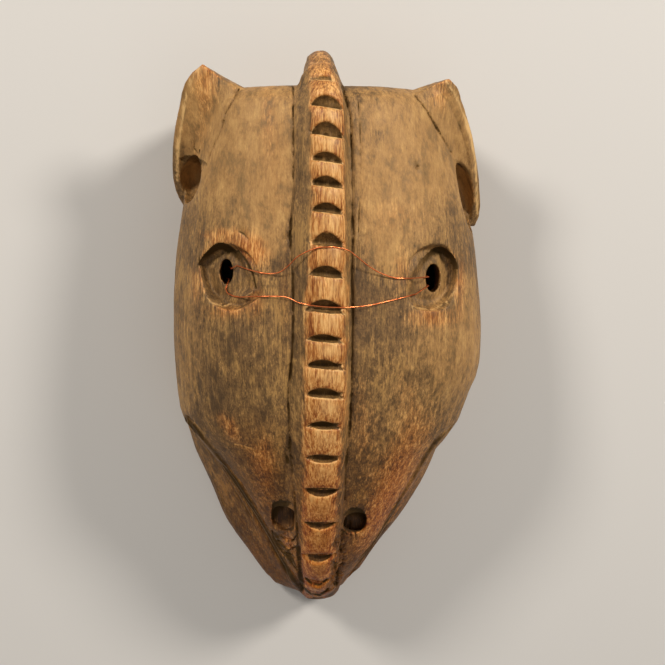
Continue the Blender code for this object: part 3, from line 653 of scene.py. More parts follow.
@dataclass
class CarvedMask:
    """The mask's wood: a fine mesh of the CAD solid, carved further, thinned and marked for its finish."""

    camera: PhotoCamera = field(default_factory=PhotoCamera)
    finish: WoodFinish = field(default_factory=WoodFinish)
    recipe: WearRecipe = field(default_factory=WearRecipe)
    cell: float = 0.56 * MM
    quick_cell: float = 1.1 * MM
    most_triangles: int = 192000
    weld_distance: float = 0.001 * MM
    soften_rounds: int = 2
    hollow_centre_height: float = 20 * MM

    crest_middle: tuple[Pixel, ...] = (
        (50, 318), (75, 322), (100, 327), (250, 328), (300, 325), (400, 325), (460, 322), (500, 320),
        (530, 319), (560, 317), (595, 315))
    crest_half: tuple[Pixel, ...] = (
        (50, 9), (75, 14), (100, 17), (245, 17), (300, 21), (400, 21), (460, 18), (500, 17), (560, 15),
        (595, 11))
    notch_rows: tuple[float, ...] = (
        62, 78.5, 101.5, 129, 157, 181.5, 208, 239.5, 271.5, 306.5, 338.5, 364.5, 393, 425.5, 459, 492.5,
        526, 558.5, 583, 593, 602)
    notch_shares: tuple[float, ...] = (
        0.0, 0.35, 0.8, 1.0, 0.7, 1.0, 1.0, 1.0, 1.0, 1.0, 0.9, 1.0, 1.0, 1.0, 1.1, 1.1, 1.0, 1.1, 0.45,
        0.25, 0.0)
    notch_heights: tuple[float, ...] = (
        1, 5, 13, 15, 11, 11, 10.5, 15, 11.5, 13, 8, 9.5, 10, 8, 8.5, 9, 8, 10, 5, 4, 1)
    slant_rows: tuple[float, ...] = (60, 110, 400, 480)
    slant_pixels: tuple[float, ...] = (0.0, 2.5, 2.0, 0.0)
    smile_rows: Spot = (420, 500)
    strip_half: float = 0.14
    row_half: float = 1.6
    facet_mm: float = 0.45
    ridge_mm: float = 0.09
    dent_mm: float = 0.12
    gouge_mm: float = 0.7
    inner_ridge_mm: float = 0.08
    gouge_width: float = 11 * MM
    gouge_length: float = 21 * MM
    broken_column: float = 284
    layer_pixels: float = 6.5
    notch_depth: float = 1.25 * MM
    segment_bulge: float = 0.70 * MM
    nudges: tuple[Nudge, ...] = (
        Nudge((305, 66), (8, 13), (-4.5, 0.0)), Nudge((314, 54), (7, 5), (-3.0, 0.0)),
        Nudge((338, 595), (15, 9), (5.0, 0.0)), Nudge((353, 577), (9, 7), (-2.5, 0.0)),
        Nudge((286, 586), (14, 11), (-4.0, 0.0)), Nudge((186, 79), (14, 20), (-1.8, 0.0)),
        Nudge((451, 84), (12, 12), (3.5, 0.0)))

    # Each cut has its pixels, width, depth, raggedness, darkness of dirt and painted shade and, where it is
    # rubbed, paleness of wear and painted highlight.
    lines: tuple[CutLine, ...] = (
        CutLine(((293, 84), (293, 135), (293, 192), (290, 235)), 1.5, 0.9 * MM, 1.0, 0.60),
        CutLine(((290, 235), (293, 279), (293, 322), (292, 354), (288, 398), (289, 425), (290, 452),
                (294, 490), (295, 506)), 1.8, 1.1 * MM, 1.1, 0.80),
        CutLine(((343, 87), (350, 115), (351, 127), (352, 181), (353, 235)), 1.4, 1.0 * MM, 0.9, 0.70),
        CutLine(((353, 235), (352, 279), (353, 311), (352, 365), (352, 391), (350, 430), (346, 465),
                (345, 500)), 1.7, 1.2 * MM, 0.8, 0.90),
        CutLine(((358, 100), (360, 127), (360, 192), (358, 240), (357, 270)), 1.2, 0.5 * MM, 0.9, 0.65),
        CutLine(((239, 89), (233, 100), (226, 112), (222, 127), (217, 140), (213, 150)), 1.6, 0.8 * MM,
                1.2, 0.6),
        CutLine(((415, 95), (427, 111), (440, 133), (452, 153)), 1.6, 0.8 * MM, 0.7, 0.7),
        CutLine(((195, 140), (194, 148), (198, 153)), 1.2, 0.3 * MM, 0.8, 0.5),
        CutLine(((215, 142), (211, 152), (209, 160)), 1.3, 0.4 * MM, 0.8, 0.7),
        CutLine(((238, 251), (246, 260), (253, 274), (256, 288)), 2.0, 0.9 * MM, 0.3, 1.0),
        CutLine(((234, 444), (241, 445), (256, 450)), 1.1, 0.25 * MM, 0.3, 0.0, 0.7),
        CutLine(((240, 232), (244, 234), (248, 239)), 1.3, 0.5 * MM, 0.5, 0.7),
        CutLine(((376, 268), (392, 276), (404, 279)), 1.0, 0.15 * MM, 0.5, 0.0, 0.3),
        CutLine(((186, 419), (197, 431), (215, 452), (233, 478), (250, 503), (264, 526), (272, 541),
                (285, 567), (301, 590)), 4.2, 3.1 * MM, 0.5, 0.80),
        CutLine(((201, 440), (218, 464), (236, 492), (252, 518)), 1.6, 0.4 * MM, 0.6, 0.45),
        CutLine(((456, 424), (448, 431), (436, 441), (425, 457), (411, 481), (392, 513), (373, 545),
                (362, 558), (349, 578)), 2.8, 2.0 * MM, 0.5, 0.68),
        CutLine(((295, 506), (297, 530), (298, 548)), 2.2, 1.2 * MM, 0.7, 0.8),
        CutLine(((298, 548), (299, 562), (300, 575), (302, 588)), 3.6, 2.6 * MM, 0.4, 1.0),
        CutLine(((343, 532), (340, 548), (338, 565), (336, 584)), 3.4, 1.6 * MM, 1.3, 0.85),
        CutLine(((281, 536), (286, 541), (293, 541), (296, 536)), 1.4, 1.0 * MM, 0.5, 1.0),
        CutLine(((276, 541), (283, 546), (289, 550), (296, 547)), 1.5, 1.1 * MM, 0.6, 1.0),
        CutLine(((279, 549), (287, 555), (295, 559)), 1.3, 0.9 * MM, 0.6, 0.9),
        CutLine(((272, 531), (274, 541), (281, 551), (289, 560), (297, 570)), 1.6, 1.0 * MM, 0.5, 0.9),
        CutLine(((306, 578), (312, 584), (320, 585), (327, 579)), 1.9, 1.3 * MM, 0.3, 1.0),
        CutLine(((303, 587), (311, 594), (320, 595), (328, 589)), 1.9, 1.2 * MM, 0.3, 1.0),
        CutLine(((346, 519), (345, 526), (346, 534)), 1.3, 1.2 * MM, 0.4, 0.8),
        CutLine(((350, 522), (350, 529), (351, 536)), 1.2, 1.0 * MM, 0.4, 0.7),
        CutLine(((355, 530), (356, 539)), 1.1, 0.6 * MM, 0.4, 0.5),
        # Painted shade along the jaw's lower edges where they turn from the light, over a band of grime.
        CutLine(((184, 428), (197, 456), (209, 480), (231, 528), (249, 552), (271, 581), (290, 591)), 7.0,
                0.0, 0.9, 0.34),
        CutLine(((449, 434), (437, 452), (422, 480), (403, 508), (376, 544), (356, 572), (341, 590)), 3.5,
                0.0, 0.9, 0.28),
        # The ear rims are paler with wear and painted highlight; the dark lines beside them are painted
        # shade on the ears' back edges and inner slopes.
        CutLine(((199, 68), (190, 81), (184, 106), (178, 146), (177, 180)), 2.4, -0.12 * MM, 0.5, 0.0,
                0.85),
        CutLine(((187, 80), (177, 111), (172, 146), (173, 180)), 2.6, 0.0, 0.4, 0.5),
        CutLine(((446, 81), (456, 96), (465, 118), (471, 137), (475, 159), (477, 190), (477, 214)), 2.6,
                -0.12 * MM, 0.5, 0.0, 0.85),
        CutLine(((440, 92), (450, 104), (459, 124), (466, 146), (469, 165)), 1.6, 0.25 * MM, 0.9, 0.4),
        # The sockets' lower lips are paler with wear and painted highlight.
        CutLine(((199, 284), (204, 295), (212, 303), (224, 306), (238, 301), (252, 292)), 1.6, -0.1 * MM,
                0.4, 0.0, 0.65),
        CutLine(((406, 304), (418, 308), (432, 310), (447, 302), (457, 288)), 1.5, -0.1 * MM, 0.4, 0.0,
                0.6),
    )
    # Each hollow has its outline, depth, the widths of its steep and its gentle wall, the side that the
    # steep one lies on, the height that its hole is kept below, and the painted shade on wall and floor.
    hollows: tuple[Hollow, ...] = (
        Hollow(((197, 265), (206, 252), (219, 242.5), (232, 247), (243, 257), (251, 271), (256.5, 289),
               (239.5, 298), (224, 303), (208, 299), (202, 282)), 3.6 * MM, 1.8, 9.0, (-0.35, -0.94),
               77 * MM, 1.1, 0.10),
        Hollow(((434, 247.5), (441, 246.5), (448, 250), (454, 256.5), (458, 265), (458.5, 273),
               (456, 285), (448, 299), (430, 308), (407, 302), (406, 284), (416, 266), (426, 254)),
               3.3 * MM, 1.8, 9.0, (0.35, -0.94), 76 * MM, 1.05, 0.10),
        Hollow(((178, 158), (191, 155), (207, 163), (204, 174), (196, 188), (191, 198), (184, 188),
               (179, 174)), 1.1 * MM, 2.0, 6.0, (0.3, -0.95), 0.0, 0.60, 0.20),
        Hollow(((452, 158), (462, 162), (470, 170), (472.5, 190), (472, 216), (466, 218), (461, 200),
               (455, 181)), 1.1 * MM, 2.0, 6.0, (-0.6, -0.8), 0.0, 0.45, 0.08),
        Hollow(((271, 530), (283, 528), (296, 530), (298, 548), (298, 568), (291, 563), (282, 552),
               (275, 543)), 1.5 * MM, 1.6, 5.0, (-0.8, 0.6), 0.0, 0.7, 0.0),
        Hollow(((272, 504), (278, 500.5), (290, 501), (295, 507), (296, 522), (291, 532), (279, 528),
               (271.5, 520)), 1.5 * MM, 1.6, 4.0, (-0.6, -0.8), 57 * MM, 1.0, 0.0),
        Hollow(((343, 515), (350, 508), (360, 508), (366, 515), (366, 525), (359, 533), (348, 532),
               (342, 526)), 2.0 * MM, 1.6, 6.0, (0.3, -0.95), 57 * MM, 1.0, 0.3),
    )
    pinhole: Patch = Patch((418, 167), (1.8, 2.2), 1.6 * MM)
    broken_snout: Patch = Patch((285, 547), (12, 18), 1.3 * MM, -12.0)
    chipped: tuple[Patch, ...] = (
        Patch((338, 560), (7, 30), 1.9 * MM, 4.0), Patch((289, 233), (5.5, 19), 1.1 * MM),
        Patch((289, 455), (5.5, 18), 1.1 * MM), Patch((347, 529), (6, 8), 1.3 * MM),
        Patch((201, 150), (9, 6), 0.4 * MM), Patch((296, 400), (4, 12), 0.5 * MM))

    ochre_zones: tuple[Patch, ...] = (
        Patch((250, 150), (85, 110), 1.0), Patch((400, 165), (75, 110), 1.0),
        Patch((262, 215), (30, 40), 0.6), Patch((188, 340), (20, 110), 0.40),
        Patch((430, 370), (55, 100), 0.55), Patch((348, 390), (5, 60), 0.6),
        Patch((466, 190), (10, 34), 0.6), Patch((192, 174), (14, 20), 0.5),
        Patch((385, 240), (30, 35), 0.5), Patch((470, 340), (22, 90), 0.60),
        Patch((400, 470), (45, 70), 0.25), Patch((225, 280), (24, 28), 0.25),
        Patch((436, 280), (22, 30), 0.25), Patch((300, 420), (14, 130), 0.25),
        Patch((272, 250), (18, 18), 0.60), Patch((190, 110), (24, 60), 1.0),
        Patch((450, 140), (30, 60), 0.8))
    bare_zones: tuple[Patch, ...] = (
        Patch((252, 250), (24, 20), 0.85, 35.0), Patch((222, 236), (30, 9), 0.70),
        Patch((228, 312), (30, 8), 0.42), Patch((196, 285), (8, 30), 0.45),
        Patch((256, 300), (12, 20), 0.35), Patch((430, 318), (36, 12), 0.60),
        Patch((402, 270), (12, 30), 0.42), Patch((392, 214), (36, 20), 0.26),
        Patch((460, 285), (7, 36), 0.55), Patch((286, 545), (11, 16), 0.85),
        Patch((250, 445), (36, 20), 0.40, 60.0), Patch((232, 430), (40, 10), 0.50, 52.0),
        Patch((262, 470), (20, 52), 0.50), Patch((400, 470), (28, 60), 0.55, 24.0),
        Patch((375, 520), (16, 50), 0.60, 28.0), Patch((362, 425), (18, 70), 0.28),
        Patch((420, 405), (34, 50), 0.35), Patch((268, 115), (9, 60), 0.30),
        Patch((205, 84), (18, 34), 0.55), Patch((200, 130), (14, 30), 0.25),
        Patch((440, 95), (14, 22), 0.45), Patch((318, 60), (14, 16), 0.30))
    # Among the dark zones are patina on the snout, and painted shade on the crest's left flank and along
    # the jaw's lower edge.
    dark_zones: tuple[Patch, ...] = (
        Patch((216, 392), (14, 20), 0.45), Patch((246, 440), (16, 26), 0.40),
        Patch((262, 385), (26, 60), 0.22), Patch((300, 165), (8, 80), 0.55),
        Patch((299, 300), (8, 70), 0.30), Patch((385, 330), (30, 26), 0.18),
        Patch((380, 138), (12, 14), 0.40), Patch((372, 160), (12, 20), 0.22),
        Patch((290, 235), (8, 18), 0.45), Patch((290, 455), (7, 22), 0.5),
        Patch((430, 400), (20, 30), 0.2), Patch((245, 200), (20, 30), 0.15),
        Patch((258, 478), (20, 40), 0.22), Patch((232, 345), (10, 26), 0.25),
        Patch((420, 372), (12, 22), 0.30), Patch((398, 352), (9, 18), 0.28),
        Patch((440, 440), (9, 16), 0.25), Patch((287, 570), (9, 16), 0.70),
        Patch((318, 60), (13, 12), 0.30), Patch((216, 500), (9, 60), 0.30, -26.0))

    russet_zones: tuple[Patch, ...] = (
        Patch((232, 312), (36, 10), 0.34), Patch((250, 252), (22, 20), 0.22),
        Patch((256, 300), (12, 22), 0.30), Patch((250, 455), (30, 44), 0.22),
        Patch((268, 490), (18, 40), 0.28), Patch((395, 480), (24, 56), 0.18, 24.0),
        Patch((430, 316), (34, 9), 0.16), Patch((285, 295), (7, 60), 0.22),
        Patch((272, 150), (16, 60), 0.12))

    points: np.ndarray = field(init=False, repr=False)
    normals: np.ndarray = field(init=False, repr=False)
    pixels: np.ndarray = field(init=False, repr=False)
    sight: np.ndarray = field(init=False, repr=False)
    outside: np.ndarray = field(init=False, repr=False)
    front: np.ndarray = field(init=False, repr=False)
    wander: np.ndarray = field(init=False, repr=False)
    swing: np.ndarray = field(init=False, repr=False)
    fray: np.ndarray = field(init=False, repr=False)

    def build(self) -> bpy.types.Object:
        """Make the piece and put it in the frame.

        Returns:
            The piece's object.
        """
        fine = self._fine_copy()
        self._read(fine)
        self._nudge()
        self._swell_segments()
        self._cut_lines()
        self._break_snout()
        self._roughen()
        self._write(fine)
        thin = self._thin(fine)
        self._read(thin)
        self._write(thin)
        self._mark(thin)
        thin.data.shade_smooth()
        thin.data.materials.clear()
        thin.data.materials.append(self.finish.material())
        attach(thin, "root")
        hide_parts("mask")
        return thin

    def _fine_copy(self) -> bpy.types.Object:
        """Copy the CAD solid, join its loose triangles and mesh it again in small even faces.

        Returns:
            The copy's object.
        """
        mesh = bmesh.new()
        mesh.from_mesh(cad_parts["mask"].data)
        bmesh.ops.remove_doubles(mesh, verts=mesh.verts, dist=self.weld_distance)
        data = bpy.data.meshes.new("carved_mask")
        mesh.to_mesh(data)
        mesh.free()
        fine = bpy.data.objects.new("carved_mask", data)
        bpy.context.scene.collection.objects.link(fine)
        step = fine.modifiers.new("even_faces", "REMESH")
        step.mode = "VOXEL"
        step.voxel_size = self.cell
        even = fine.modifiers.new("soften", "SMOOTH")
        even.factor = 0.5
        even.iterations = self.soften_rounds
        return self._apply(fine)

    def _apply(self, piece: bpy.types.Object) -> bpy.types.Object:
        """Turn a piece's modifiers into its mesh.

        Args:
            piece: The piece to change.

        Returns:
            The same piece.
        """
        ready = piece.evaluated_get(bpy.context.evaluated_depsgraph_get())
        made = bpy.data.meshes.new_from_object(ready)
        piece.modifiers.clear()
        old = piece.data
        piece.data = made
        bpy.data.meshes.remove(old)
        made.name = piece.name
        return piece

    def _thin(self, piece: bpy.types.Object) -> bpy.types.Object:
        """Thin the flat stretches until the piece has few enough triangles.

        Args:
            piece: The fine piece.

        Returns:
            The same piece, thinned.
        """
        piece.data.calc_loop_triangles()
        count = len(piece.data.loop_triangles)
        if count > self.most_triangles:
            step = piece.modifiers.new("thin", "DECIMATE")
            step.ratio = self.most_triangles / count
            self._apply(piece)
        return piece

    def _read(self, piece: bpy.types.Object) -> None:
        """Read a piece's points, and work out where each one shows in the photograph.

        Args:
            piece: The piece to read.
        """
        data = piece.data
        count = len(data.vertices)
        self.points = np.empty(count * 3)
        data.vertices.foreach_get("co", self.points)
        self.points = self.points.reshape(-1, 3)
        self.normals = np.empty(count * 3)
        data.vertex_normals.foreach_get("vector", self.normals)
        self.normals = self.normals.reshape(-1, 3)
        self.pixels = self.camera.pixels(self.points)
        self.sight = np.array(self.camera.place) - self.points
        self.sight /= np.linalg.norm(self.sight, axis=1)[:, None]
        facing = np.einsum("ij,ij->i", self.sight, self.normals)
        self.outside = self._outside()
        self.front = soft(facing, -0.05, 0.25) * self.outside
        self.wander = Grain(Draw.WANDER).at(self.points, (3 * MM, 5 * MM, 5 * MM), 2)
        self.swing = Grain(Draw.SWING).at(self.points, (30 * MM, 9 * MM, 30 * MM), 2)
        self.fray = Grain(Draw.FRAY).at(self.points, (1.1 * MM, 2.4 * MM, 1.1 * MM), 2)

    def _outside(self) -> np.ndarray:
        """Tell the outer skin from the hollow behind it.

        Returns:
            1 for each point of the outer skin, and 0 inside.
        """
        low, high = (np.array(corner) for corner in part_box("mask"))
        middle = (low + high) / 2
        middle[2] = self.hollow_centre_height
        outward = np.einsum("ij,ij->i", self.points - middle, self.normals)
        skin = np.maximum(soft(outward, -4 * MM, 4 * MM), soft(self.normals[:, 2], 0.06, 0.22))
        return skin * (1.0 - soft(-self.normals[:, 2], 0.80, 0.95))

    def _write(self, piece: bpy.types.Object) -> None:
        """Put the moved points back in a piece, inside the CAD model's box.

        Args:
            piece: The piece to change.
        """
        low, high = (np.array(corner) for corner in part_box("mask"))
        self.points = np.clip(self.points, low, high)
        piece.data.vertices.foreach_set("co", self.points.ravel())
        piece.data.update()

    def _deepen(self, depth: np.ndarray) -> None:
        """Press the surface in, by a depth in metres for each point."""
        self.points = self.points - self.normals * depth[:, None]

    def _crest(self) -> tuple[np.ndarray, np.ndarray]:
        """Find the crest in the photograph's frame.

        Returns:
            How far each point is across the crest, from -1 to 1, and how surely it is on the crest's top.
        """
        down = self.pixels[:, 1]
        rows, middles = zip(*self.crest_middle)
        places, halves = zip(*self.crest_half)
        across = (self.pixels[:, 0] - np.interp(down, rows, middles)) / np.interp(down, places, halves)
        top = soft(np.abs(across), 1.12, 0.88) * self.front * soft(down, 44, 52)
        return across, top

    def _segment_phase(self, across: np.ndarray) -> np.ndarray:
        """Say how far along its crest segment each point is.

        Args:
            across: How far each point is across the crest.

        Returns:
            0 at the notch on the crown's side, 1 at the next one.
        """
        down = self._straightened(across)
        return np.interp(down, self.notch_rows, np.arange(len(self.notch_rows))) % 1.0

    def _straightened(self, across: np.ndarray) -> np.ndarray:
        """Give each point's pixel row with the slant of the crown's notches taken out."""
        down = self.pixels[:, 1]
        return down - np.interp(down, self.slant_rows, self.slant_pixels) * across

    def _below_crest(self, across: np.ndarray) -> np.ndarray:
        """Measure how far each point lies below the line over the tops of the crest's segments.

        Args:
            across: How far each point is across the crest.

        Returns:
            The drop in metres, 0 off the crest.
        """
        rows = np.array(self.notch_rows)
        middles = (rows[1:] + rows[:-1]) / 2
        on_crest = np.flatnonzero((np.abs(across) < 1.3) & (self.front > 0.3))
        down, height, aside = self.pixels[on_crest, 1], self.points[on_crest, 2], across[on_crest]
        strips = np.linspace(-1.1, 1.1, 9)
        tops = np.empty((len(strips), len(on_crest)))
        for number, strip in enumerate(strips):
            beside = np.abs(aside - strip) < self.strip_half
            found = {}
            for middle in middles:
                here = beside & (np.abs(down - middle) < self.row_half)
                if np.any(here):
                    found[middle] = np.median(height[here])
            tops[number] = np.interp(down, list(found), list(found.values()))
        share = np.clip((aside - strips[0]) / (strips[1] - strips[0]), 0.0, len(strips) - 1.001)
        whole = share.astype(int)
        picked = np.arange(len(on_crest))
        line = (tops[whole, picked] * (1.0 - share + whole)
                + tops[whole + 1, picked] * (share - whole))
        drop = np.zeros(len(self.points))
        drop[on_crest] = (line - height) * soft(down, 68, 74)
        return drop

    def _nudge(self) -> None:
        """Shift zones of the wood sideways as the photograph sees them, and read their pixels again."""
        right, up, _ = (np.array(axis) for axis in self.camera.axes())
        distance = np.linalg.norm(np.array(self.camera.place) - self.points, axis=1)
        distance = distance / self.camera.focal_pixels
        for nudge in self.nudges:
            away = (self.pixels - np.array(nudge.middle)) / np.array(nudge.reach)
            share = soft(np.hypot(*away.T), 1.7, 0.3) * distance
            self.points = self.points + share[:, None] * (right * nudge.shift[0] - up * nudge.shift[1])
        self.pixels = self.camera.pixels(self.points)

    def _swell_segments(self) -> None:
        """Round each crest segment like a barrel, and open each notch to its arch or smile."""
        across, top = self._crest()
        phase = self._segment_phase(across)
        swell = np.sin(math.pi * phase) ** 0.8 * (1.0 - 0.5 * across**2)
        down = self._straightened(across)
        rows = np.array(self.notch_rows)
        number = np.rint(np.interp(down, rows, np.arange(len(rows)))).astype(int)
        away = down - rows[number]
        arch = np.interp(down, self.smile_rows, (1.0, 0.0))
        height = np.array(self.notch_heights)[number]
        above = away + height * (0.5 - arch * across**2)
        below = height * (0.5 - (1.0 - arch) * across**2) - away
        within = np.minimum(above, below)
        share = np.array(self.notch_shares)[number]
        cut = soft(within, -0.9, 1.5) * share * soft(np.abs(across), 1.16, 1.02)
        self._deepen(top * (self.notch_depth * cut - self.segment_bulge * np.clip(swell, 0.0, 1.0)))

    def _beside(self, course: tuple[Pixel, ...], margin: float) -> tuple[np.ndarray, ...]:
        """Find the points near a course of pixels.

        Args:
            course: The pixels it runs through.
            margin: How far round it points are looked for, in pixels.

        Returns:
            Which points are near, how far off each one is, its direction to the course, and whether the
            course, taken as closed, holds it.
        """
        corners = np.array(course, dtype=float)
        low, high = corners.min(axis=0) - margin, corners.max(axis=0) + margin
        close = np.flatnonzero(np.all((self.pixels > low) & (self.pixels < high), axis=1))
        spots = self.pixels[close]
        nearest = np.full(len(close), np.inf)
        toward = np.zeros((len(close), 2))
        within = np.zeros(len(close), dtype=bool)
        for start, end in zip(corners, corners[1:]):
            way = end - start
            share = np.clip(((spots - start) @ way) / (way @ way), 0.0, 1.0)
            gap = start + share[:, None] * way - spots
            away = np.linalg.norm(gap, axis=1)
            closer = away < nearest
            nearest[closer] = away[closer]
            toward[closer] = gap[closer] / (away[closer, None] + 1e-9)
            if way[1] != 0.0:
                crossed = (spots[:, 1] < start[1]) != (spots[:, 1] < end[1])
                within ^= crossed & (spots[:, 0] < start[0] + (spots[:, 1] - start[1]) / way[1] * way[0])
        return close, nearest, toward, within

    def _hollow_share(self, hollow: Hollow) -> tuple[np.ndarray, np.ndarray]:
        """Say how deep in a crisp hollow each point lies, and how near its steep wall.

        Args:
            hollow: The hollow.

        Returns:
            0 at the edge to 1 on the floor, and the strength of the painted shadow, 1 at the steep wall to
            0 away from it.
        """
        knots = [Vector((*pixel, 0.0)) for pixel in (*hollow.outline, hollow.outline[0])]
        outline = tuple((point.x, point.y) for point in smooth_course(knots, 3.0))
        close, nearest, toward, within = self._beside(outline, 2.0)
        facing = soft(toward @ np.array(hollow.lean), -0.15, 0.75)
        wall = hollow.gentle + (hollow.steep - hollow.gentle) * facing
        nearest = nearest + 0.5 * self.wander[close]
        kept = (self.front[close] if hollow.keep_below == 0.0
                else soft(self.points[close, 2], hollow.keep_below, hollow.keep_below + 9 * MM))
        share = np.zeros(len(self.pixels))
        share[close] = soft(nearest, 0.0, wall) * within * kept
        dark = np.zeros(len(self.pixels))
        # A band of painted shadow along the steep wall.
        dark[close] = within * facing * soft(nearest, 9.0, 5.0) * kept
        return share, dark

    def _line_share(self, line: CutLine) -> np.ndarray:
        """Say how deep in a cut line each point lies.

        Args:
            line: The line.

        Returns:
            0 outside the line to 1 at its bottom.
        """
        close, nearest, _, _ = self._beside(line.course, 4 * line.width)
        wander = (0.9 * self.wander[close] + 0.9 * self.fray[close]) * line.ragged
        swing = (self.swing[close] + 0.5 * self.fray[close]) * line.ragged
        width = line.width * np.clip(1.0 + 0.7 * swing, 0.30, 1.8)
        shares = np.zeros(len(self.pixels))
        shares[close] = (soft(nearest + wander, width, width * 0.10) * np.clip(1.0 + 0.8 * swing, 0.2, 1.5)
                         * self.front[close])
        return shares

    def _cut_lines(self) -> None:
        """Cut the crest's base lines, the splits and the scratches."""
        depth = np.zeros(len(self.points))
        for line in self.lines:
            depth = np.maximum(depth, self._line_share(line) * line.depth)
        for line in self.lines:
            if line.depth < 0.0:
                depth = depth + self._line_share(line) * line.depth
        hole = self.pinhole
        depth = np.maximum(depth, self._patch(hole) * hole.strength)
        self._deepen(depth)
        for hollow in self.hollows:
            self.points = self.points - self.sight * (self._hollow_share(hollow)[0] * hollow.depth)[:, None]

    def _patch(self, patch: Patch, edge: float = 0.0) -> np.ndarray:
        """Say how far inside a soft oval each point lies.

        Args:
            patch: The oval.
            edge: 0 for a soft oval, and nearer 1 for a crisp one.

        Returns:
            0 outside to 1 inside.
        """
        angle = math.radians(patch.turn)
        right, down = (self.pixels - np.array(patch.middle)).T
        along = (right * math.cos(angle) + down * math.sin(angle)) / patch.reach[0]
        aside = (down * math.cos(angle) - right * math.sin(angle)) / patch.reach[1]
        return soft(np.hypot(along, aside), 1.0 + 0.35 * (1 - edge), 0.9 * edge) * self.front

    def _break_snout(self) -> None:
        """Break the wood in layers below the left nostril and chip it beside the crest."""
        grain = Grain(Draw.BROKEN_LAYERS)
        right, down = self.pixels.T
        wander = grain.at(self.points, (5 * MM, 7 * MM, 7 * MM), 3)
        layers = (down * 0.9 + (right - self.broken_column) * 0.35) / self.layer_pixels + wander * 1.2
        step = layers - np.floor(layers)
        share = self._patch(self.broken_snout, 0.55)
        self._deepen(share * self.broken_snout.strength * (0.35 + 0.65 * step**1.5))
        for patch in self.chipped:
            self._deepen(self._chips(patch) * patch.strength)

    def _chips(self, patch: Patch) -> np.ndarray:
        """Say where splinters are missing in a patch, 0 for sound wood to 1 for a chip."""
        splinter = 0.75 * self.wander + 0.6 * self.fray
        return self._patch(patch, 0.2) * soft(splinter, 0.02, 0.34)

    def _roughen(self) -> None:
        """Lay the knife's facets, the raised grain and the gouge marks behind."""
        facets = Grain(Draw.FACETS).at(self.points, (19 * MM, 27 * MM, 19 * MM), 2)
        ridges = Grain(Draw.RIDGES).at(self.points, (1.9 * MM, 30 * MM, 1.9 * MM), 2)
        dents = Grain(Draw.DENTS).at(self.points, (6 * MM, 9 * MM, 6 * MM), 2)
        outer = facets * self.facet_mm * MM + ridges * self.ridge_mm * MM + dents * self.dent_mm * MM
        drift = Grain(Draw.GOUGE_ROWS).at(self.points, (22 * MM, 30 * MM, 22 * MM))
        rows = self.points[:, 0] / self.gouge_width + 0.6 * drift
        drift = Grain(Draw.GOUGE_BITES).at(self.points, (11 * MM, 26 * MM, 22 * MM))
        bites = self.points[:, 1] / self.gouge_length + 0.8 * drift
        scoop = (np.abs(np.sin(math.pi * rows)) * np.abs(np.sin(math.pi * bites))) ** 0.6
        inner = (scoop - 0.6) * self.gouge_mm * MM + ridges * self.inner_ridge_mm * MM
        rim = soft(self.points[:, 2], 0.2 * MM, 2.5 * MM)
        self._deepen((outer * self.outside + inner * (1 - self.outside)) * rim)

    def _hollows(self, piece: bpy.types.Object) -> np.ndarray:
        """Measure how hollow the surface is round each point.

        Args:
            piece: The finished mesh.

        Returns:
            Positive numbers in hollows and negative ones on edges.
        """
        edges = np.empty(len(piece.data.edges) * 2, dtype=np.int64)
        piece.data.edges.foreach_get("vertices", edges)
        first, second = edges.reshape(-1, 2).T
        way = self.points[second] - self.points[first]
        length = np.linalg.norm(way, axis=1)[:, None] + 1e-9
        way = way / length
        count = np.bincount(edges, minlength=len(self.points))
        bend = (np.bincount(first, np.einsum("ij,ij->i", way, self.normals[first]), len(self.points))
                - np.bincount(second, np.einsum("ij,ij->i", way, self.normals[second]), len(self.points)))
        bend = bend / np.maximum(count, 1)
        for _ in range(4):
            spread = (np.bincount(first, bend[second], len(self.points))
                      + np.bincount(second, bend[first], len(self.points)))
            bend = 0.4 * bend + 0.6 * spread / np.maximum(count, 1)
        return bend

    def _zones(self, zones: tuple[Patch, ...]) -> np.ndarray:
        """Lay soft zones over each other.

        Args:
            zones: The zones.

        Returns:
            The strength at each point, from 0 to 1.
        """
        clear = np.ones(len(self.points))
        for zone in zones:
            clear *= 1.0 - np.clip(self._patch(zone) * zone.strength, 0.0, 1.0)
        return 1.0 - clear

    def _dark_and_pale_marks(self) -> tuple[np.ndarray, np.ndarray]:
        """Say how dark the cuts, hollows and chips are with dirt and painted shade, and how pale the rubbed
        lines are with wear and painted highlight.

        Returns:
            The darkness and the paleness at each point.
        """
        dark = np.zeros(len(self.points))
        rubbed_and_lit = np.zeros(len(self.points))
        for line in self.lines:
            share = self._line_share(line)
            dark = np.maximum(dark, share * line.soot_and_shade)
            rubbed_and_lit = np.maximum(rubbed_and_lit, share * line.pale)
        for hollow in self.hollows:
            share, wall = self._hollow_share(hollow)
            dark = np.maximum(dark, np.maximum(wall * hollow.soot_and_shade, share * hollow.floor_shade))
        for patch in self.chipped:
            dark = np.maximum(dark, self.recipe.chip_darkness * self._chips(patch))
        return dark, rubbed_and_lit

    def _mark(self, piece: bpy.types.Object) -> None:
        """Write down how worn, dark, tan and pale the wood is at each point, the darkness holding painted
        shade and the paleness painted highlight.

        Args:
            piece: The finished mesh.
        """
        recipe = self.recipe
        down = self.pixels[:, 1]
        across, top = self._crest()
        phase = self._segment_phase(across)
        below = self._below_crest(across)
        # Painted shade inside each notch.
        notch = top * soft(below, 0.75 * MM, 1.35 * MM)
        # Painted highlight on each notch's lit lower lip.
        lit_lip = (top * soft(below, 0.20 * MM, 0.5 * MM) * soft(below, 1.35 * MM, 0.8 * MM)
               * soft(phase, 0.34, 0.22))
        ragged = np.abs(across) + 0.22 * self.wander + 0.12 * self.fray
        crest = soft(ragged, 1.30, 0.72) * self.front
        segment = crest * (1.0 - notch)
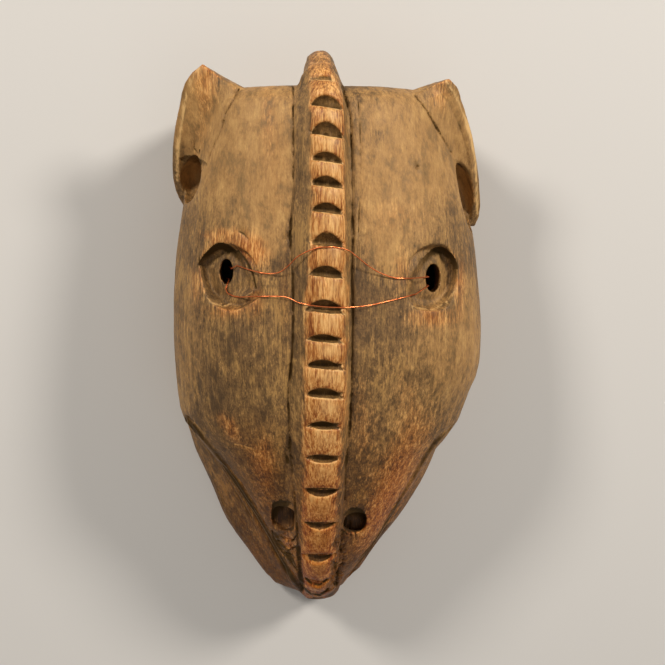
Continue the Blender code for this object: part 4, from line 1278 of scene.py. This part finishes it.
        # Painted highlight along each segment's middle, weaker near the crown's tip.
        middle = segment * np.clip(1.0 - (across - 0.2) ** 2, 0.0, 1.0) * np.sin(math.pi * phase**0.75)
        middle = middle * np.interp(down, recipe.highlight_rows, recipe.highlight_crown)
        # Painted shade darkening each segment towards its ends and sides.
        ends = soft(phase, 0.62, 0.98) + 0.7 * soft(np.abs(across), 0.45, 1.05)
        ends = segment * np.clip(ends, 0.0, 1.0)

        bend = self._hollows(piece)
        edge = soft(-bend, 0.05, 0.16) * self.outside
        # Dirt and painted shade in the surface's hollows.
        pit = soft(bend, 0.06, 0.22) * self.outside
        sides = (1.0 - self.front) * self.outside
        dark, rubbed_and_lit = self._dark_and_pale_marks()
        dark_zone = self._zones(self.dark_zones)

        worn_top = segment * np.interp(down, recipe.worn_rows, recipe.worn_tops)
        wear = np.clip(recipe.worn_everywhere + self._zones(self.bare_zones) + worn_top
                       + recipe.worn_edges * edge - recipe.unworn_cuts * dark, 0.0, 1.0)
        wear = (wear - dark_zone) * soft(self.normals[:, 2], -0.6, -0.2)
        ochre = recipe.tan_everywhere + self._zones(self.ochre_zones) + recipe.tan_sides * sides - dark_zone
        # Painted shade darkens the notches, segment ends, hollow walls and floors, pits and the pinhole;
        # the cut lines get dirt and painted shade.
        soot_and_shade = (notch * recipe.shade_notches + recipe.dark_zone_patina_and_shade * dark_zone * (1.0 - segment)
                + recipe.shade_segment_ends * ends + dark + recipe.grime_and_shade_pits * pit
                + self._patch(self.pinhole))
        pale = recipe.highlight_lips * lit_lip + recipe.highlight_middles * middle + rubbed_and_lit
        # Darker and redder towards the snout: the wood's own tone and painted shade where the snout turns
        # from the light; russet zones add tone.
        dusk = (crest * np.interp(down, recipe.crest_rows, recipe.crest_dusk)
                + (1.0 - crest) * np.interp(down, recipe.side_rows, recipe.side_dusk))
        dusk = dusk * (1.0 - recipe.undusky_break * self._patch(self.broken_snout))
        dusk = dusk + self._zones(self.russet_zones)
        values = {Mark.WEAR: wear, Mark.SOOT_AND_SHADE: np.clip(soot_and_shade, 0.0, 1.0), Mark.OCHRE: np.clip(ochre, 0.0, 1.0),
                  Mark.PALE: np.clip(pale, 0.0, 1.0), Mark.DUSK: np.clip(dusk, 0.0, 1.0),
                  Mark.INSIDE: 1.0 - self.outside}
        for mark, value in values.items():
            layer = piece.data.attributes.new(mark.value, "FLOAT", "POINT")
            layer.data.foreach_set("value", value.astype(np.float32))


@dataclass
class HangingWire:
    """The copper wire: two turns round the bridge between the eyes, its ends twisted together inside."""

    camera: PhotoCamera = field(default_factory=PhotoCamera)
    finish: CopperFinish = field(default_factory=CopperFinish)
    thickness: float = 0.6 * MM
    lift: float = 0.5 * MM
    inside_height: float = 70.0 * MM
    upper: tuple[Pixel, ...] = (
        (237, 265.5), (250, 270), (262, 273), (278, 273), (290, 265), (298, 257), (315, 248.5),
        (330, 247), (345, 249.5), (355, 256), (368, 266), (380, 273), (395, 278), (410, 278.5))
    lower: tuple[Pixel, ...] = (
        (226, 288), (227, 292), (231, 295), (240, 297), (262, 296.5), (285, 297), (300, 303),
        (320, 306.5), (345, 307.5), (365, 306), (385, 302), (405, 297), (416, 294))
    left_passes: tuple[Spot, Spot] = ((-0.0496, 0.0395), (-0.0508, 0.0338))
    right_passes: tuple[Spot, Spot] = ((0.0453, 0.0355), (0.0458, 0.0310))
    pass_heights: Spot = (74 * MM, 80 * MM)
    pass_gap: float = 0.4 * MM
    first_end: tuple[Triple, ...] = ((-30 * MM, 37.5 * MM, 0.0),)
    between: tuple[Triple, ...] = (
        (35 * MM, 33 * MM, 0.0), (5 * MM, 29 * MM, 1 * MM), (-30 * MM, 32 * MM, 0.0))
    last_end: tuple[Triple, ...] = ((34 * MM, 32.5 * MM, 1 * MM), (8 * MM, 35 * MM, 1 * MM))
    twist: tuple[Triple, ...] = ((-12 * MM, 36 * MM, 1 * MM), (3 * MM, 36 * MM, 4 * MM))
    twist_turns: int = 5
    twist_steps: int = 60
    twist_reach: float = 0.62
    strand_step: float = 1.6
    inside_step: float = 3 * MM

    def build(self, wood: bpy.types.Object) -> bpy.types.Object:
        """Lay the wire on the mask.

        Args:
            wood: The finished mask, which the wire lies on.

        Returns:
            The wire's object.
        """
        mesh = bmesh.new()
        mesh.from_mesh(wood.data)
        tree = BVHTree.FromBMesh(mesh)
        mesh.free()
        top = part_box("hanging_wire")[1][2] - self.thickness / 2
        route = [Vector((point.x, point.y, min(point.z, top))) for point in self._route(tree)]
        data = bpy.data.curves.new("copper_wire", "CURVE")
        data.dimensions = "3D"
        data.bevel_depth = self.thickness / 2
        data.bevel_resolution = 3
        data.use_fill_caps = True
        spline = data.splines.new("POLY")
        spline.points.add(len(route) - 1)
        for spot, point in zip(spline.points, route):
            spot.co = (*point, 1.0)
        wire = bpy.data.objects.new("copper_wire", data)
        bpy.context.scene.collection.objects.link(wire)
        wire.data.materials.append(self.finish.material())
        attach(wire, "root")
        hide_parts("hanging_wire")
        return wire

    def _strand(self, tree: BVHTree, course: tuple[Pixel, ...]) -> list[Vector]:
        """Pull a strand straight over the face, clear of the wood.

        Args:
            tree: The mask's surface.
            course: The pixels it runs through.

        Returns:
            The strand's points.
        """
        flat = smooth_course([Vector((*pixel, 0.0)) for pixel in course], self.strand_step)
        laid = []
        for pixel in flat:
            hit, sight = self.camera.onto(tree, (pixel.x, pixel.y))
            laid.append(hit + sight * (self.lift + self.thickness / 2))
        hull = [0]
        for index in range(1, len(laid)):
            while len(hull) > 1 and ((laid[hull[-1]].z - laid[hull[-2]].z) * (index - hull[-2])
                                     <= (laid[index].z - laid[hull[-2]].z) * (hull[-1] - hull[-2])):
                hull.pop()
            hull.append(index)
        back = self.camera.axes()[2]
        taut = np.interp(range(len(laid)), hull, [laid[index].z for index in hull])
        return [point + back * max(0.0, height - point.z) / back.z for point, height in zip(laid, taut)]

    def _pass(self, spot: Spot, end: Vector) -> list[Vector]:
        """Go up an eye hole, close to its inner edge.

        Args:
            spot: Where it passes, seen from above.
            end: The strand's end that it goes to.

        Returns:
            Points from inside to the socket.
        """
        top = end.z - self.pass_gap
        return [Vector((*spot, height)) for height in (*self.pass_heights, top - 3 * MM, top)]

    def _inside(self, places: tuple[Triple, ...]) -> list[Vector]:
        """Turn places in the hollow, each with its drop below the wire's usual height, into points."""
        return [Vector((x, y, self.inside_height - drop)) for x, y, drop in places]

    def _route(self, tree: BVHTree) -> list[Vector]:
        """Join the strands, the passes and the twisted ends.

        Args:
            tree: The mask's surface.

        Returns:
            The whole wire's points.
        """
        upper = self._strand(tree, self.upper)
        lower = self._strand(tree, self.lower)
        left_high, left_low = (self._pass(spot, strand[0])
                               for spot, strand in zip(self.left_passes, (upper, lower)))
        right_high, right_low = (self._pass(spot, strand[-1])
                                 for spot, strand in zip(self.right_passes, (upper, lower)))
        twist_start, twist_end = self._inside(self.twist)
        first = self._helix(twist_end, twist_start, 0.0)
        second = self._helix(twist_start, twist_end, math.pi)
        lead = [first[-1], *self._inside(self.first_end), *left_high]
        across = [*right_high[::-1], *self._inside(self.between), *left_low]
        tail = [*right_low[::-1], *self._inside(self.last_end), second[0]]
        lead, across, tail = (smooth_course(knots, self.inside_step) for knots in (lead, across, tail))
        return first + lead[1:] + upper + across + lower + tail[:-1] + second

    def _helix(self, start: Vector, end: Vector, phase: float) -> list[Vector]:
        """Wind one of the two ends round the other.

        Args:
            start: Where the winding starts.
            end: Where it ends.
            phase: The angle that keeps the two ends apart.

        Returns:
            The winding's points.
        """
        way = end - start
        side = way.cross(Vector((0.0, 0.0, 1.0))).normalized()
        over = side.cross(way).normalized()
        reach = self.thickness * self.twist_reach
        hand = 1.0 if phase == 0.0 else -1.0
        points = []
        for step in range(self.twist_steps + 1):
            angle = hand * 2 * math.pi * self.twist_turns * step / self.twist_steps + phase
            points.append(start + way * (step / self.twist_steps) + side * reach * math.cos(angle)
                          + over * reach * math.sin(angle))
        return points


@dataclass
class Studio:
    """A plain pale floor under soft warm light from above the crown, left and right."""

    floor_size: float = 6.0
    floor_colour: Colour = (0.62, 0.61, 0.595)
    floor_roughness: float = 0.9
    warm: Colour = (1.0, 0.93, 0.84)
    lamps: tuple[tuple[Triple, float, float], ...] = (
        ((-0.80, 0.80, 0.95), 12.0, 0.32), ((0.90, 0.70, 0.95), 14.5, 0.32), ((0.3, -0.5, 1.6), 2.5, 1.2))
    lamp_aim: Triple = (0.0, 0.0, 0.05)
    sky: float = 0.22
    sky_colour: Colour = (1.0, 0.97, 0.93)

    def build(self) -> None:
        """Make the floor, the lamps and the even light."""
        mesh = bmesh.new()
        bmesh.ops.create_grid(mesh, x_segments=1, y_segments=1, size=self.floor_size)
        data = bpy.data.meshes.new("floor")
        mesh.to_mesh(data)
        mesh.free()
        floor = bpy.data.objects.new("floor", data)
        tree = Tree("pale_floor")
        tree.shader.inputs["Base Color"].default_value = (*self.floor_colour, 1.0)
        tree.shader.inputs["Roughness"].default_value = self.floor_roughness
        data.materials.append(tree.material)
        bpy.context.scene.collection.objects.link(floor)
        for number, (place, power, size) in enumerate(self.lamps):
            light = bpy.data.lights.new(f"lamp_{number}", "AREA")
            light.shape = "DISK"
            light.size = size
            light.energy = power
            light.color = self.warm
            lamp = bpy.data.objects.new(f"lamp_{number}", light)
            lamp.location = place
            aim = Vector(self.lamp_aim) - Vector(place)
            lamp.rotation_euler = aim.to_track_quat("-Z", "Y").to_euler()
            bpy.context.scene.collection.objects.link(lamp)
        world = bpy.data.worlds.new("even_light")
        world.use_nodes = True
        background = world.node_tree.nodes["Background"]
        background.inputs["Color"].default_value = (*self.sky_colour, 1.0)
        background.inputs["Strength"].default_value = self.sky
        bpy.context.scene.world = world
        bpy.context.scene.view_settings.view_transform = "Standard"


def main() -> None:
    """Build the camera, the mask, its wire and the studio, and log the mask's points and faces and the
    wire's points.
    """
    logging.basicConfig(level=logging.INFO, format="%(message)s")
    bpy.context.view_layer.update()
    camera = PhotoCamera()
    camera.make()
    mask = CarvedMask(camera=camera).build()
    LOG.info("mask: %d points, %d faces", len(mask.data.vertices), len(mask.data.polygons))
    wire = HangingWire(camera=camera).build(mask)
    LOG.info("wire: %d points", len(wire.data.splines[0].points))
    Studio().build()


if __name__ == "__main__":
    main()
